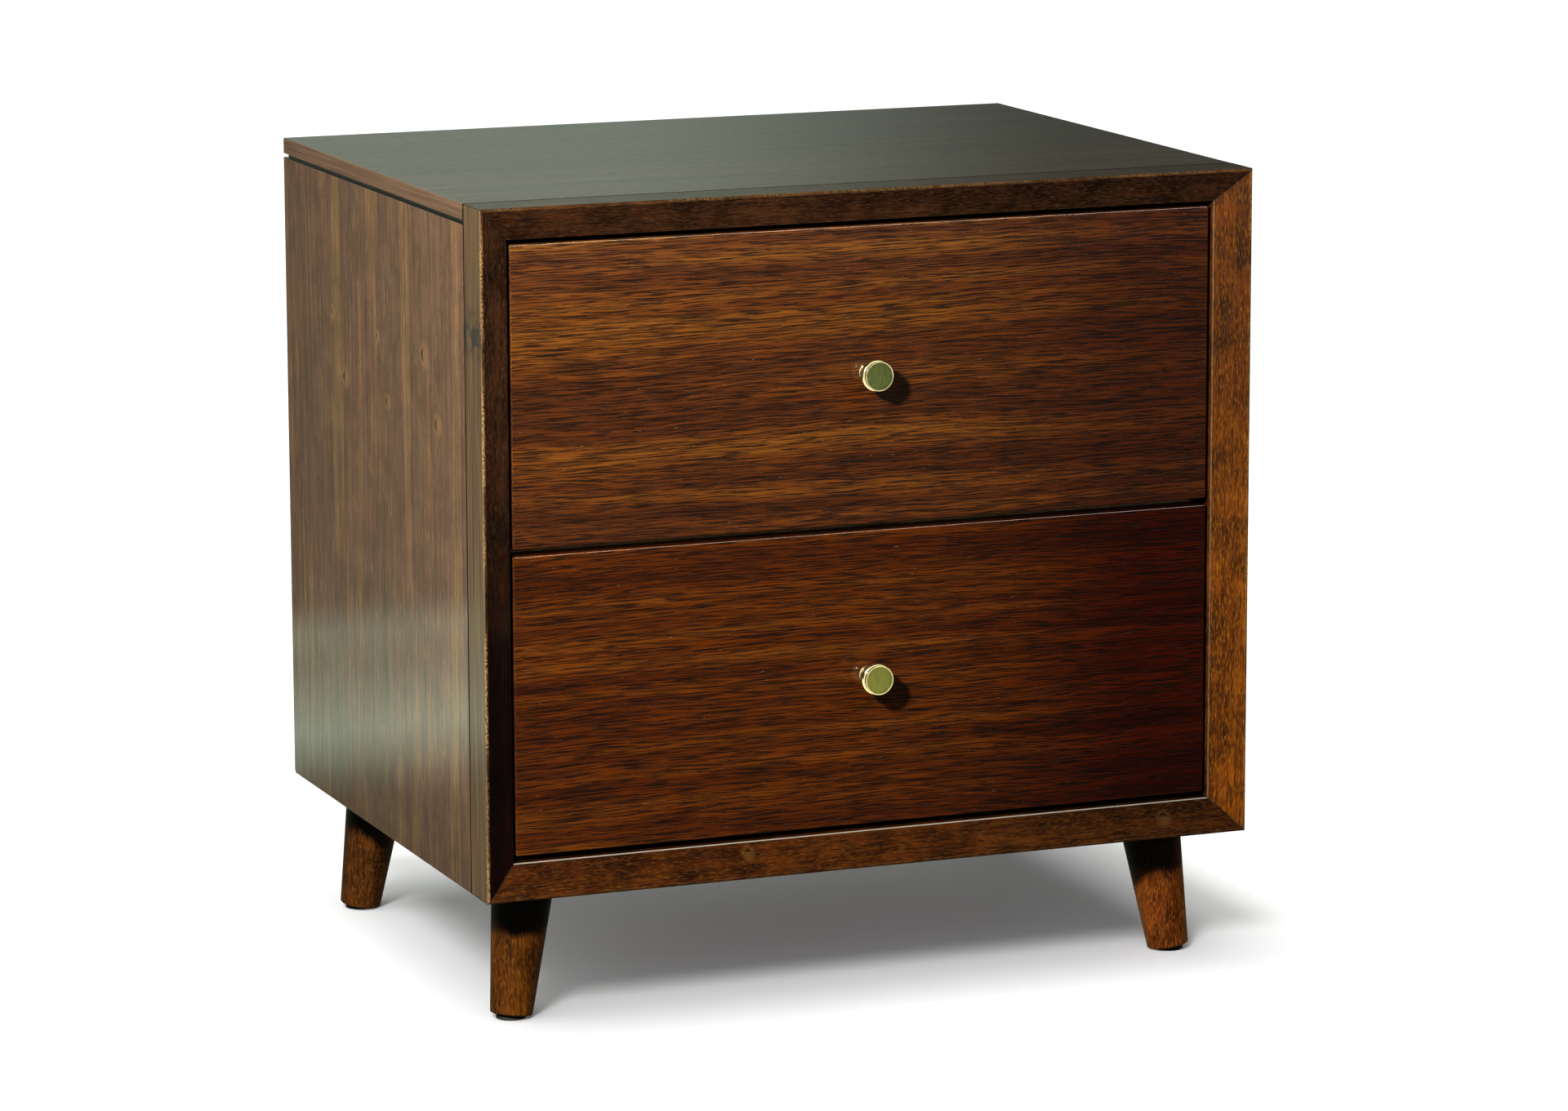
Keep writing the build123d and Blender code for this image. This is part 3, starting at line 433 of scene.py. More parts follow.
def arris_near(g):
    """1 on the outer front arrises of the case and 0 away from them."""
    x, y, z = g.parts(g.place())
    inwards = g.math("SUBTRACT", case_right, g.math("ABSOLUTE", x))
    downwards = g.math("SUBTRACT", case_high.z, z)
    reach = g.math("ADD", g.math("MINIMUM", inwards, downwards), g.math("SUBTRACT", y, case_low.y))
    return g.between(reach, *ARRIS_REACH, 1.0, 0.0)


def lip_near(g):
    """1 on the inner arris of the front frame, where the bevel ends, and 0 away from it."""
    inset = g.math("SUBTRACT", g.math("MINIMUM", *frame_insets(g)), FRAME_FACE)
    sunk = g.math("SUBTRACT", g.parts(g.place())[1], case_low.y + FRAME_BEVEL_DEPTH)
    reach = g.math("ADD", g.math("ABSOLUTE", inset), g.math("ABSOLUTE", sunk))
    return g.between(reach, *LIP_REACH, 1.0, 0.0)


def worn_and_highlit(g, colour, amount, arris):
    """Edges where the finish is rubbed through to pale wood, in patches. This also paints in the
    highlights that eased edges catch.
    """
    patchy = g.between(g.noise(g.place(), WORN_AND_HIGHLIT_PATCHES, detail=3.0), 0.35, 0.62)
    share = g.math("MULTIPLY", g.math("MULTIPLY", edge_wear(g), patchy), amount)
    if arris:
        specks = g.noise(g.place(), RUBBED_AND_HIGHLIT_SPECKS, detail=3.0, roughness=0.7)
        speckled = g.between(specks, 0.44, 0.56)
        here = g.between(g.noise(g.place(), RUBBED_AND_HIGHLIT_PATCHES), 0.38, 0.56)
        rubbed = g.math("MULTIPLY", here, arris_near(g))
        rubbed = g.math("MULTIPLY", g.math("MULTIPLY", rubbed, speckled), arris)
        share = g.math("MAXIMUM", share, rubbed)
    return g.mix(share, colour, RUBBED_WOOD_AND_HIGHLIGHT)


def streaked(g, colour, places, streaks):
    """The colour with its streaks drawn in, and how deep they cut at each point."""
    cut = 0.0
    for number, streak in enumerate(streaks):
        seed = FIRST_SEED + SEED_STEP * number
        marks = grain_noise(g, places, streak.along, streak.across, seed)
        marks = g.between(marks, streak.low, streak.high)
        colour = g.mix(g.math("MULTIPLY", marks, streak.share), colour, streak.colour)
        cut = g.math("MULTIPLY_ADD", marks, streak.cut, cut)
    return colour, cut


def faded(g, colour, fade):
    """The colour, darker or lighter beyond one place on an axis."""
    where = dict(zip("XYZ", g.parts(g.place())))[fade.axis]
    return g.mix(g.between(where, fade.start, fade.end), colour, multiplied(g, colour, fade.tint))


def wood(name, grain, stops, **changes):
    """A finished wood. stops are the noise levels and colours of its broad bands, and changes are
    what differs from WOOD."""
    look = {**WOOD, **changes}
    material, g = new_graph(name)
    places = grain_places(g, grain, look["shift"])
    places = wandering(g, places, look["wander"], look["ripple"])
    places, heart, halo = flow_round_knots(g, places, look["knots"])
    bands = grain_noise(g, places, *look["bands"], detail=look["detail"], roughness=0.6)
    colour = g.ramp(bands, stops)
    if look["mottle"]:
        colour = mottled(g, colour, look["mottle"])
    colour, cut = streaked(g, colour, places, look["streaks"])
    if look["knots"]:
        colour = g.mix(g.math("MULTIPLY", halo, HALO_SHARE), colour, HALO_COLOUR)
        colour = g.mix(g.math("MULTIPLY", heart, HEART_SHARE), colour, HEART_COLOUR)
    # The tint and fades: on the frame, the legs and the fronts they also paint in light and shade.
    if look["shade"]:
        colour = multiplied(g, colour, look["shade"])
    for fade in look["fades"]:
        colour = faded(g, colour, fade)
    if look["edge"]:
        colour = edge_grain(g, colour, *look["edge"])
    # Rubbed edges, which also stand in for the highlights that eased edges catch.
    if look["wear"]:
        colour = worn_and_highlit(g, colour, look["wear"], look["arris"])
    # A painted highlight on the inner lip of the front frame.
    if look["lip"]:
        colour = g.mix(g.math("MULTIPLY", lip_near(g), look["lip"]), colour, LIP_PAINTED_HIGHLIGHT)
    colour = dark_lines(g, colour, look)
    g.surface(
        colour,
        g.math("MULTIPLY_ADD", cut, CUT_ROUGHNESS, look["roughness"]),
        g.bump(g.math("SUBTRACT", 1.0, cut), look["bump"]),
        specular_ior_level=look["specular"],
        coat_weight=look["coat"],
        coat_roughness=look["coat_roughness"],
    )
    return material


# Colours of the broad bands: noise levels and the colour at each.
# Walnut veneer: the upper front and the lower one, the sides and the top.
WALNUT_FRONT = (
    (0.32, (0.084, 0.024, 0.006)),
    (0.44, (0.131, 0.038, 0.008)),
    (0.515, (0.172, 0.053, 0.009)),
    (0.61, (0.216, 0.075, 0.011)),
    (0.73, (0.255, 0.098, 0.016)),
)
WALNUT_FRONT_RED = (
    (0.32, (0.066, 0.015, 0.002)),
    (0.44, (0.106, 0.024, 0.003)),
    (0.515, (0.139, 0.035, 0.003)),
    (0.61, (0.178, 0.053, 0.006)),
    (0.73, (0.211, 0.069, 0.008)),
)
WALNUT_SIDE = (
    (0.30, (0.170, 0.115, 0.070)),
    (0.41, (0.265, 0.155, 0.086)),
    (0.48, (0.225, 0.130, 0.080)),
    (0.54, (0.260, 0.138, 0.082)),
    (0.60, (0.350, 0.205, 0.090)),
    (0.70, (0.250, 0.155, 0.090)),
)
WALNUT_TOP = (
    (0.25, (0.030, 0.014, 0.008)),
    (0.45, (0.070, 0.032, 0.016)),
    (0.60, (0.105, 0.050, 0.024)),
    (0.75, (0.160, 0.085, 0.040)),
)
# The other cut on the outer sides of the top and of the stiles.
SLAB_EDGE = (
    (0.30, (0.170, 0.095, 0.060)),
    (0.50, (0.260, 0.150, 0.090)),
    (0.70, (0.350, 0.210, 0.120)),
)
STILE_EDGE = (
    (0.32, (0.090, 0.055, 0.034)),
    (0.50, (0.180, 0.112, 0.060)),
    (0.68, (0.265, 0.168, 0.080)),
)
# Stained solid wood, for the front frame and the legs.
SOLID_WALNUT = (
    (0.25, (0.060, 0.018, 0.005)),
    (0.45, (0.130, 0.042, 0.009)),
    (0.62, (0.200, 0.072, 0.013)),
    (0.78, (0.300, 0.125, 0.026)),
)
# Wood without stain: the drawer boxes, the boards inside and the back.
PALE_WOOD = (
    (0.25, (0.460, 0.310, 0.170)),
    (0.50, (0.580, 0.420, 0.250)),
    (0.75, (0.680, 0.520, 0.330)),
)
PLY_FACE = (
    (0.25, (0.400, 0.260, 0.140)),
    (0.50, (0.520, 0.360, 0.200)),
    (0.75, (0.600, 0.440, 0.270)),
)
BACK_WOOD = (
    (0.25, (0.150, 0.085, 0.045)),
    (0.50, (0.210, 0.125, 0.070)),
    (0.75, (0.280, 0.175, 0.100)),
)


# ---- Metals and rubber -------------------------------------------------------------------------
# The satin faces of the knobs, and their polished rings and stems. The lower face is brighter and
# yellower, which paints in the light that it reflects.
SATIN_GREEN = ((0.3, (0.110, 0.130, 0.045)), (0.7, (0.190, 0.215, 0.082)))
SATIN_YELLOW = ((0.3, (0.175, 0.185, 0.040)), (0.7, (0.285, 0.290, 0.080)))
POLISHED = ((0.3, (0.74, 0.66, 0.32)), (0.7, (0.92, 0.86, 0.52)))
# Where the face ends, in shares of the head's radius, and how deep it lies.
FACE_RIM = (0.86, 0.885)
FACE_DEPTHS = (0.9 * MM, 1.1 * MM)
# Marks to a metre: the brushing across and along it, and clouds on brass and on steel.
BRUSHED = (1800.0, 90.0)
BRASS_CLOUDS = 260.0
STEEL_CLOUDS = 60.0
METAL_BUMP = 0.02 * MM
# How much rougher the front of a knob is than its stem, and its face than its ring.
FRONT_ROUGHNESS = 0.30
FACE_ROUGHNESS = 0.14


def brass(name, node, stops):
    """Antique brass: a satin, greenish face inside a polished ring. stops colour the face."""
    material, g = new_graph(name)
    low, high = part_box(node)
    x, y, z = g.parts(g.place())
    dx = g.math("SUBTRACT", x, (low.x + high.x) / 2)
    dz = g.math("SUBTRACT", z, (low.z + high.z) / 2)
    radius = g.math("SQRT", g.math("ADD", g.math("MULTIPLY", dx, dx), g.math("MULTIPLY", dz, dz)))
    head_radius = (high.x - low.x) / 2
    in_face = g.between(radius, *(head_radius * share for share in FACE_RIM), 1.0, 0.0)
    in_front = g.between(y, *(low.y + depth for depth in FACE_DEPTHS), 1.0, 0.0)
    face = g.math("MULTIPLY", in_face, in_front)
    lines = g.vector(g.math("MULTIPLY", x, BRUSHED[0]), y, g.math("MULTIPLY", z, BRUSHED[1]))
    brushed = g.noise(lines, detail=3.0)
    cloudy = g.noise(g.place(), BRASS_CLOUDS, detail=3.0)
    colour = g.mix(face, g.ramp(cloudy, POLISHED), g.ramp(brushed, stops))
    rough = g.between(cloudy, 0.3, 0.7, 0.12, 0.22)
    rough = g.math("MULTIPLY_ADD", in_front, FRONT_ROUGHNESS, rough)
    rough = g.math("MULTIPLY_ADD", face, FACE_ROUGHNESS, rough)
    g.surface(colour, rough, g.bump(brushed, METAL_BUMP), metallic=1.0)
    return material


def steel(name, dark, light, roughness, grain=(8.0, 400.0, 400.0)):
    """Rolled steel. grain is how many marks there are to a metre on each axis: its fine lines run
    along the axis that has few."""
    material, g = new_graph(name)
    spots = [g.math("MULTIPLY", where, marks) for where, marks in zip(g.parts(g.place()), grain)]
    rolled = g.noise(g.vector(*spots), detail=3.0)
    cloudy = g.noise(g.place(), STEEL_CLOUDS, detail=4.0)
    level = g.math("MULTIPLY_ADD", cloudy, 0.5, g.math("MULTIPLY", rolled, 0.5))
    rough = g.between(cloudy, 0.3, 0.7, roughness - 0.06, roughness + 0.08)
    colour = g.ramp(level, ((0.35, dark), (0.65, light)))
    g.surface(colour, rough, g.bump(rolled, METAL_BUMP), metallic=1.0)
    return material


def powder_coat(name):
    """Black powder coat, finely pimpled."""
    material, g = new_graph(name)
    pimples = g.noise(g.place(), 900.0, detail=2.0)
    cloudy = g.noise(g.place(), 40.0, detail=3.0)
    colour = g.ramp(cloudy, ((0.3, (0.012, 0.012, 0.013)), (0.7, (0.026, 0.026, 0.027))))
    g.surface(colour, g.between(cloudy, 0.3, 0.7, 0.42, 0.55), g.bump(pimples, 0.06 * MM))
    return material


def rubber(name):
    """Matt black rubber, finely grained."""
    material, g = new_graph(name)
    grains = g.noise(g.place(), 700.0, detail=2.0)
    colour = g.ramp(grains, ((0.3, (0.020, 0.018, 0.016)), (0.7, (0.040, 0.036, 0.032))))
    g.surface(colour, g.between(grains, 0.3, 0.7, 0.72, 0.85), g.bump(grains, 0.05 * MM))
    return material


# ---- Which node has which material -------------------------------------------------------------
def dress(names, material):
    """Gives the named nodes a material."""
    for name in names:
        slots = nodes[name].data.materials
        slots.clear()
        slots.append(material)


# The marks of the side panels, and the knots of the sides and of the bottom rail. A knot's places
# are those on the panel itself: Z and Y on a side, X and Z on the rail.
SIDE_LINES = Streak(6.0, 260, 0.44, 0.66, (0.120, 0.070, 0.045), 0.38, 0.2)
SIDE_HAIRS = Streak(12.0, 700, 0.50, 0.68, (0.080, 0.048, 0.030), 0.38, 0.5)
SIDE_FLECKS = Streak(60, 1300, 0.62, 0.70, (0.60, 0.43, 0.20), 0.50, 0.0)
LEFT_KNOTS = (
    Knot(0.489, 0.121, 3.5 * MM),
    Knot(0.443, 0.093, 5 * MM),
    Knot(0.439, -0.011, 4 * MM),
    Knot(0.485, 0.012, 3 * MM),
    Knot(0.487, -0.096, 6 * MM),
    Knot(0.439, -0.126, 5.5 * MM),
)
RIGHT_KNOTS = (Knot(0.350, -0.050, 5 * MM), Knot(0.300, 0.110, 4 * MM))
RAIL_KNOTS = (Knot(-0.098, 0.119, 3.0 * MM), Knot(0.240, 0.117, 3.8 * MM))
# How far their grain is shifted, so that they are not cut from the same piece as the others.
RIGHT_SHIFT = 2.3
RAIL_SHIFT = 4.1
# The dark smudge on the outer side of the left stile.
SMUDGE_HEIGHT = 0.518


def shifted(knots, shift):
    """The same knots on a board whose grain is shifted."""
    return [knot._replace(along=knot.along + shift) for knot in knots]


def dress_frame():
    """The mitred front frame: each member is cut from its own piece, and its tint and fades
    paint in the light and shade that its face catches.
    """
    solid = {
        "mottle": 0.55,
        "ripple": 0.0026,
        "joint": top_low.y,
        "mitres": True,
        "wear": 0.8,
        "streaks": (SOFT_LINES, DARK_FLECKS, GOLD_FLECKS),
    }
    stile = {**solid, "arris": 0.8}
    members = {
        # Darker, as its bevel faces away from the key: painted shade, deeper towards the bottom.
        "left_stile": wood(
            "walnut_left_stile", "ZXY", SOLID_WALNUT, shift=0.3, shade=(0.46, 0.50, 1.00),
            fades=(Fade("Z", 0.46, 0.24, (0.14, 0.06, 0.12)),),
            edge=("ZYX", STILE_EDGE, SMUDGE_HEIGHT), **stile,
        ),
        # Painted shade on its upper part, and a painted highlight on its lip.
        "right_stile": wood(
            "walnut_right_stile", "ZXY", SOLID_WALNUT, shift=2.9, shade=(0.85, 0.67, 0.20),
            fades=(Fade("Z", 0.28, 0.46, (0.76, 0.76, 0.70)),), lip=0.12,
            edge=("ZYX", STILE_EDGE, None), **stile,
        ),
        # Darker, as its bevel faces down: painted shade.
        "top_rail": wood(
            "walnut_top_rail", "XZY", SOLID_WALNUT, shift=1.7, shade=(0.37, 0.38, 0.74),
            arris=0.25, **solid,
        ),
        # Darker low down: painted shade, deeper towards the right, and a painted highlight on its
        # lip.
        "bottom_rail": wood(
            "walnut_bottom_rail", "XZY", SOLID_WALNUT, shift=RAIL_SHIFT, shade=(0.37, 0.29, 0.21),
            fades=(Fade("X", -0.05, 0.15, (0.74, 0.80, 1.1)),), lip=0.6,
            knots=shifted(RAIL_KNOTS, RAIL_SHIFT), **solid,
        ),
    }
    for name, material in members.items():
        dress((f"frame_{name}",), material)


def dress_case():
    """Top and sides in lacquered veneer, and plain wood behind, below and inside."""
    top = wood(
        "walnut_top", "XYZ", WALNUT_TOP, shift=0.4, roughness=0.30, coat=0.8, coat_roughness=0.10,
        joint=top_low.y, edge=("YZX", SLAB_EDGE, None),
    )
    dress(("top_panel",), top)
    side = {
        "bands": (2.2, 34.0),
        "detail": 6.0,
        "mottle": 0.15,
        "wander": 0.010,
        "ripple": 0.0006,
        "roughness": 0.30,
        "coat": 0.8,
        "coat_roughness": 0.08,
        "streaks": (SIDE_LINES, SIDE_HAIRS, SIDE_FLECKS),
        "joint": top_low.y,
        "groove": top_low.z - GROOVE_HEIGHT,
        "fades": (Fade("Z", 0.20, 0.13, (0.72, 0.72, 0.72)),),
    }
    left = wood("walnut_left_side", "ZYX", WALNUT_SIDE, knots=LEFT_KNOTS, **side)
    dress(("left_side_panel",), left)
    knots = shifted(RIGHT_KNOTS, RIGHT_SHIFT)
    right = wood("walnut_right_side", "ZYX", WALNUT_SIDE, shift=RIGHT_SHIFT, knots=knots, **side)
    dress(("right_side_panel",), right)
    dress(("back_panel",), wood("back_board", "ZXY", BACK_WOOD, coat=0.0, roughness=0.6))
    case_wood = wood("case_wood", "XYZ", PLY_FACE, coat=0.0, roughness=0.55)
    dress(("bottom_panel", "drawer_divider", "rear_stretcher"), case_wood)
    inner = wood("inner_wood", "YZX", PLY_FACE, coat=0.0, roughness=0.55)
    dress(("corner_blocks", "left_slide_spacers", "right_slide_spacers"), inner)
    dowels = wood("dowel_wood", "ZXY", PALE_WOOD, coat=0.0, roughness=0.6)
    dress(("case_dowels", "frame_splines"), dowels)


# A painted shadow darkens the head of each leg, under the case, and each leg has a tint of its own,
# which also paints in how brightly it is lit.
LEG_HEAD_PAINTED_SHADOW = Fade("Z", 0.060, 0.071, (0.15, 0.13, 0.17))
LEG_TINTS_AND_LIGHT = {
    "front_left": (0.60, 0.53, 0.29),
    "front_right": (1.03, 0.79, 0.55),
    "back_left": (0.53, 0.49, 0.45),
    "back_right": (0.80, 0.75, 0.70),
}


def dress_legs():
    for number, (place, shade) in enumerate(LEG_TINTS_AND_LIGHT.items()):
        look = wood(
            f"walnut_{place}_leg", "ZXY", SOLID_WALNUT, shift=0.7 * number, shade=shade,
            mottle=0.50, wear=0.4, ripple=0.003, fades=(LEG_HEAD_PAINTED_SHADOW,),
            streaks=(SOFT_LINES, DARK_FLECKS, GOLD_FLECKS),
        )
        dress((f"{place}_leg",), look)


# A front's colours, how they fade, how much it shines, and the colours of its knob's face. The
# fades paint in shade towards the right and, on the upper front, a highlight along the top.
DrawerLook = namedtuple("DrawerLook", "stops fades specular satin")
DRAWER_LOOKS = {
    "top_drawer": DrawerLook(
        WALNUT_FRONT,
        # Painted shade towards the right, and a painted highlight along the top.
        (Fade("X", 0.02, 0.24, (0.54, 0.42, 0.46)), Fade("Z", 0.52, 0.575, (1.12, 1.25, 1.7))),
        0.11,
        SATIN_GREEN,
    ),
    "bottom_drawer": DrawerLook(
        WALNUT_FRONT_RED,
        # Painted shade towards the right, darker and redder.
        (Fade("X", 0.02, 0.24, (0.38, 0.135, 0.03)),),
        0.08,
        SATIN_YELLOW,
    ),
}


def dress_drawers():
    """Each front has its own veneer, and both drawers have the same pale box."""
    box = wood("box_wood", "XZY", PALE_WOOD, coat=0.2, roughness=0.5)
    box_side = wood("box_side_wood", "YZX", PALE_WOOD, coat=0.2, roughness=0.5)
    bottom = wood("box_bottom", "XYZ", PLY_FACE, coat=0.1, roughness=0.5)
    for number, (drawer, look) in enumerate(DRAWER_LOOKS.items()):
        front = wood(
            f"walnut_{drawer}_front", "XZY", look.stops, shift=0.9 + 1.3 * number, wear=0.25,
            bands=(1.0, 55.0), wander=0.022, ripple=0.0014, fades=look.fades,
            streaks=(FINE_LINES, HAIR_LINES, PALE_FLECKS_AND_GLINTS), specular=look.specular,
        )
        dress((f"{drawer}_front",), front)
        dress((f"{drawer}_box_front", f"{drawer}_box_back"), box)
        dress((f"{drawer}_left_side", f"{drawer}_right_side"), box_side)
        dress((f"{drawer}_bottom",), bottom)
        dress((f"{drawer}_knob",), brass(f"brass_{drawer}", f"{drawer}_knob", look.satin))


def dress_hardware():
    """Slides, screws, leg plates and foot pads."""
    along_y = (400.0, 8.0, 400.0)
    zinc = steel("slide_steel", (0.42, 0.43, 0.44), (0.62, 0.63, 0.63), 0.34, along_y)
    balls = steel("bearing_steel", (0.55, 0.55, 0.56), (0.72, 0.72, 0.73), 0.20)
    screws = steel("screw_steel", (0.40, 0.40, 0.38), (0.60, 0.59, 0.55), 0.32)
    kinds = ("case", "middle", "drawer")
    for drawer in DRAWER_LOOKS:
        dress([f"{drawer}_{side}_{kind}_member" for side in SIDES for kind in kinds], zinc)
        dress((f"{drawer}_outer_ball_cages", f"{drawer}_inner_ball_cages"), balls)
        dress((f"{drawer}_knob_screw", f"{drawer}_screws"), screws)
    dress(("back_panel_screws", "case_slide_screws"), screws)
    dress(("leg_hanger_bolts", "leg_plate_screws"), screws)
    dress(("leg_plates",), powder_coat("black_steel"))
    dress(("foot_pads",), rubber("pad_rubber"))


# ---- The studio --------------------------------------------------------------------------------
# The floor: half its width, and how white it is where it is darker and where it is lighter.
FLOOR_HALF = 5.0
FLOOR_WHITES = (0.81, 0.83)
# The key light: a small disc, high in front and to the left.
KEY_AIM = (0.0, case_low.y, 0.40)
KEY_PLACE = (-1.50, -1.75, 1.43)
KEY_SIZE = 0.20
KEY_POWER = 80.0
# Soft fills: where each stands and its power.
FILLS = {
    "front_fill": ((1.2, -2.6, 0.9), 8.0),
    "back_fill": ((0.4, 2.6, 0.30), 40.0),
    "right_fill": ((2.6, 0.5, 0.30), 40.0),
}
FILL_SIZE = 0.5
# The lights on the floor: which way they travel, how many degrees wide they are, and how strong.
FLOOR_SUNS = {
    "floor_sun": ((0.80, 1.03, -1.0), 14.0, 1.65),
    "floor_sky": ((0.55, 0.30, -1.0), 90.0, 2.3),
}
FLOOR_FILL_STRENGTH = 0.38
FLOOR_FILL_TINT = (1.0, 0.98, 1.05)


def sloped(across_x, across_y, across_z):
    """The corners of a sheet that is level along X and rises along Y."""
    return [(across_x[a], across_y[b], across_z[b]) for a, b in ((0, 0), (1, 0), (1, 1), (0, 1))]


def sheet_of(name, corners, faces=((0, 1, 2, 3),)):
    mesh = bpy.data.meshes.new(name)
    mesh.from_pydata(corners, [], faces)
    mesh.update()
    made = bpy.data.objects.new(name, mesh)
    bpy.context.scene.collection.objects.link(made)
    return made


def make_floor():
    """A white floor, seen by the camera alone, so that it neither tints nor fills the wood. It is
    clear from below, so that the underside can be looked at."""
    half = (-FLOOR_HALF, FLOOR_HALF)
    floor = sheet_of("floor", sloped(half, half, (0, 0)))
    floor.visible_diffuse = False
    floor.visible_glossy = False
    material, g = new_graph("floor_white")
    grains = g.noise(g.place(), 3.0, detail=2.0)
    shader = g.add("ShaderNodeBsdfDiffuse")
    level = g.between(grains, 0.3, 0.7, *FLOOR_WHITES)
    g.feed(shader.inputs["Color"], g.vector(level, level, level))
    clear = g.add("ShaderNodeBsdfTransparent")
    side = g.add("ShaderNodeNewGeometry").outputs["Backfacing"]
    mix = g.add("ShaderNodeMixShader")
    g.feed(mix.inputs[0], side)
    g.feed(mix.inputs[1], shader.outputs[0])
    g.feed(mix.inputs[2], clear.outputs[0])
    g.finish(mix.outputs[0])
    floor.data.materials.append(material)
    return floor


def make_light(name, kind, travel, place=(0, 0, 0), **settings):
    """A light that shines along travel and isn't seen itself. settings go to its data."""
    data = bpy.data.lights.new(name, kind)
    for key, value in settings.items():
        setattr(data, key, value)
    light = bpy.data.objects.new(name, data)
    light.rotation_mode = "QUATERNION"
    light.rotation_quaternion = Vector(travel).normalized().to_track_quat("-Z", "Y")
    light.location = place
    light.visible_camera = False
    bpy.context.scene.collection.objects.link(light)
    return light


def group_of(name, objects):
    """A collection of these objects that isn't a part of the scene, for light linking."""
    group = bpy.data.collections.new(name)
    for o in objects:
        group.objects.link(o)
    return group


def light_only(light, objects):
    """Cycles light linking: this light reaches only these objects."""
    light.light_linking.receiver_collection = group_of(light.name + "_receivers", objects)


def make_shade():
    """A flag the size of the case's footprint, at its underside, for the floor's lights alone."""
    level = (case_low.z, case_low.z)
    corners = sloped((case_low.x, case_right), (case_low.y, back_y), level)
    shade = sheet_of("case_shade", corners)
    shade.visible_camera = False
    shade.visible_diffuse = False
    shade.visible_glossy = False
    shade.visible_transmission = False
    material, g = new_graph("shade_black")
    cloth = g.noise(g.place(), 200.0)
    g.surface(g.ramp(cloth, ((0.3, BLACK), (0.7, DARK))), 0.9)
    shade.data.materials.append(material)
    return shade


def make_object_lights(object_blockers):
    """The key and the soft fills. Only the nightstand is lit by them, and only it shades them."""
    travel = Vector(KEY_AIM) - Vector(KEY_PLACE)
    disc = {"size": KEY_SIZE, "energy": KEY_POWER, "shape": "DISK"}
    key = make_light("key", "AREA", travel, KEY_PLACE, **disc)
    key.light_linking.blocker_collection = object_blockers
    light_only(key, list(nodes.values()))
    for name, (place, power) in FILLS.items():
        travel = Vector((0, 0, KEY_AIM[2])) - Vector(place)
        disc = {"size": FILL_SIZE, "energy": power, "shape": "DISK"}
        fill = make_light(name, "AREA", travel, place, **disc)
        fill.visible_glossy = False
        fill.light_linking.blocker_collection = object_blockers
        light_only(fill, list(nodes.values()))


def make_floor_lights(floor, floor_blockers):
    """The lights on the floor, shaded by the flag and the feet, and one that nothing shades."""
    for name, (travel, spread, strength) in FLOOR_SUNS.items():
        sun = make_light(name, "SUN", travel, energy=strength, angle=math.radians(spread))
        sun.light_linking.blocker_collection = floor_blockers
        light_only(sun, [floor])
    fill = make_light(
        "floor_fill", "SUN", (0, 0, -1), energy=FLOOR_FILL_STRENGTH, use_shadow=False,
        color=FLOOR_FILL_TINT,
    )
    light_only(fill, [floor])


def make_lights(floor):
    """All the lamps, with what each of them reaches and what shades it."""
    standing = ["foot_pads", *(f"{end}_{side}_leg" for end in ENDS for side in SIDES)]
    floor_blockers = [make_shade(), *(nodes[name] for name in standing)]
    make_object_lights(group_of("object_blockers", nodes.values()))
    make_floor_lights(floor, group_of("floor_blockers", floor_blockers))


# The light that lies on the floor behind and to the left, seen in the sheen of the side: its reach
# in X, and how bright it is at places along Y.
STRIP_X = (-1.9, -0.30)
STRIP_LEVELS = (
    (0.55, 0.0),
    (0.62, 0.15),
    (0.68, 0.46),
    (0.74, 0.72),
    (0.81, 1.0),
    (0.87, 0.82),
    (0.94, 0.67),
    (1.01, 0.51),
    (1.08, 0.36),
    (1.15, 0.41),
    (1.23, 0.54),
    (1.31, 0.26),
    (1.37, 0.0),
)
STRIP_Y = (STRIP_LEVELS[0][0], STRIP_LEVELS[-1][0])
STRIP_TINT = (0.37, 0.50, 0.40)
STRIP_STRENGTH = 1.55
# The softbox in front and above, which only the drawer fronts show: it draws the pale line on
# their upper edges. Its reach in X, and the Y and Z of its lower and upper edges.
SOFTBOX_X = (0.2, 1.7)
SOFTBOX_Y = (-2.30, -1.85)
SOFTBOX_Z = (1.55, 2.15)
SOFTBOX_STRENGTH = 22.0
# The light tent, open in front and behind, that the polished knobs show: half its width, where its
# floor and roof are, and its reach in Y.
TENT_HALF = 2.0
TENT_LOW = 0.003
TENT_HIGH = 2.2
TENT_Y = (-1.6, 1.2)
TENT_STRENGTH = 1.2


def glow(sheet, strength, colour):
    """Makes a sheet a light that only glossy rays meet, and that hides nothing behind it. colour
    makes its colour from the graph."""
    sheet.visible_camera = False
    sheet.visible_diffuse = False
    sheet.visible_shadow = False
    material, g = new_graph(sheet.name + "_glow")
    shader = g.add("ShaderNodeEmission")
    shader.inputs["Strength"].default_value = strength
    g.feed(shader.inputs["Color"], colour(g))
    both = g.add("ShaderNodeAddShader")
    g.feed(both.inputs[0], shader.outputs[0])
    g.feed(both.inputs[1], g.add("ShaderNodeBsdfTransparent").outputs[0])
    g.finish(both.outputs[0])
    sheet.data.materials.append(material)


def strip_colour(g):
    """The strip's tint, brighter or darker along Y."""
    low, high = STRIP_Y
    along = g.math("DIVIDE", g.math("SUBTRACT", g.parts(g.place())[1], low), high - low)
    stops = []
    for y, level in STRIP_LEVELS:
        stops.append(((y - low) / (high - low), tuple(level * tint for tint in STRIP_TINT)))
    return g.ramp(along, stops)


def cloth_colour(g):
    """White cloth, a little uneven."""
    cloth = g.noise(g.place(), 6.0)
    return g.ramp(cloth, ((0.3, (0.95, 0.92, 0.86)), (0.7, (1.0, 0.98, 0.94))))


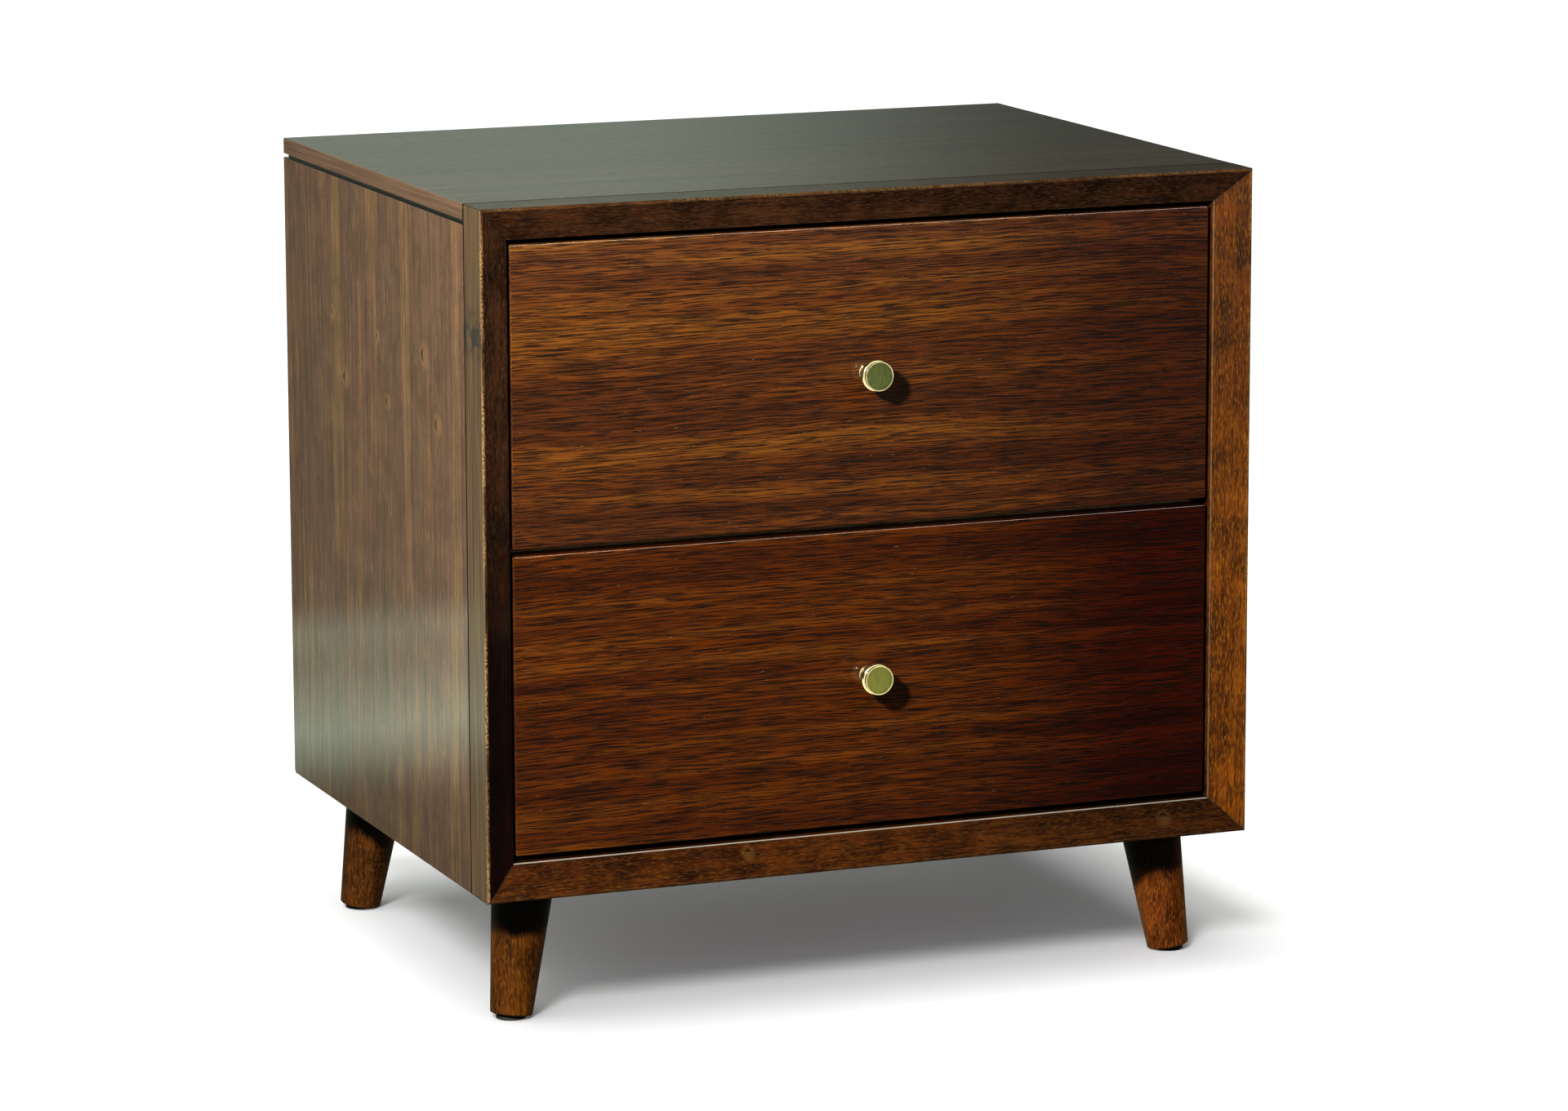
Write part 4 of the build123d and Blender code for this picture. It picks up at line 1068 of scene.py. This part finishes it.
def make_sheets():
    """The sheets of light that the lacquer and the brass show."""
    strip = sheet_of("floor_strip", sloped(STRIP_X, STRIP_Y, (MM, MM)))
    glow(strip, STRIP_STRENGTH, strip_colour)
    softbox = sheet_of("softbox", sloped(SOFTBOX_X, SOFTBOX_Y, SOFTBOX_Z))
    glow(softbox, SOFTBOX_STRENGTH, cloth_colour)
    light_only(softbox, [nodes[f"{drawer}_front"] for drawer in DRAWER_LOOKS])
    floor = ((-TENT_HALF, TENT_LOW), (TENT_HALF, TENT_LOW))
    roof = ((TENT_HALF, TENT_HIGH), (-TENT_HALF, TENT_HIGH))
    corners = [(x, y, z) for y in TENT_Y for x, z in (*floor, *roof)]
    tent = sheet_of("tent", corners, [(a, (a + 1) % 4, (a + 1) % 4 + 4, a + 4) for a in range(4)])
    glow(tent, TENT_STRENGTH, cloth_colour)
    light_only(tent, [nodes[f"{drawer}_knob"] for drawer in DRAWER_LOOKS])


# The studio that the object shows, by the direction (x, y, z) of a ray from it: where the part
# behind begins, how far to the side its bright left is, how high, and how bright all of it is.
WORLD_BEHIND = (-0.2, 0.5)
WORLD_SIDE = (0.36, 0.465, 0.72, 0.10)
WORLD_HEIGHT = (-0.05, 0.06, 0.10, 1.0)
WORLD_GLOW = 0.40
WORLD_DIM = 0.050
WORLD_TINT = (0.90, 1.05, 0.88)


def make_world():
    """White behind the object. For the rest a dim studio, brighter behind and to the left."""
    world = bpy.data.worlds.new("studio")
    world.use_nodes = True
    bpy.context.scene.world = world
    g = Graph(world.node_tree)
    x, y, z = g.parts(g.add("ShaderNodeTexCoord").outputs["Generated"])
    behind = g.between(y, *WORLD_BEHIND)
    sideways = g.math("DIVIDE", x, g.math("MAXIMUM", y, 0.05))
    left = g.between(sideways, *WORLD_SIDE)
    above = g.between(z, *WORLD_HEIGHT)
    level = g.math("MULTIPLY", g.math("MULTIPLY", left, above), behind)
    level = g.math("MULTIPLY_ADD", level, WORLD_GLOW, WORLD_DIM)
    studio = g.add("ShaderNodeBackground")
    g.feed(studio.inputs["Color"], multiplied(g, g.vector(level, level, level), WORLD_TINT))
    white = g.add("ShaderNodeBackground")
    white.inputs["Color"].default_value = (1, 1, 1, 1)
    mix = g.add("ShaderNodeMixShader")
    g.feed(mix.inputs[0], g.add("ShaderNodeLightPath").outputs["Is Camera Ray"])
    g.feed(mix.inputs[1], studio.outputs[0])
    g.feed(mix.inputs[2], white.outputs[0])
    output = g.add("ShaderNodeOutputWorld")
    g.feed(output.inputs["Surface"], mix.outputs[0])


# ---- Making it all -----------------------------------------------------------------------------
dress_frame()
dress_case()
dress_legs()
dress_drawers()
dress_hardware()
make_world()
make_lights(make_floor())
make_sheets()
make_camera()
bpy.context.scene.view_settings.view_transform = "Standard"
bpy.context.scene.view_settings.look = "Medium High Contrast"
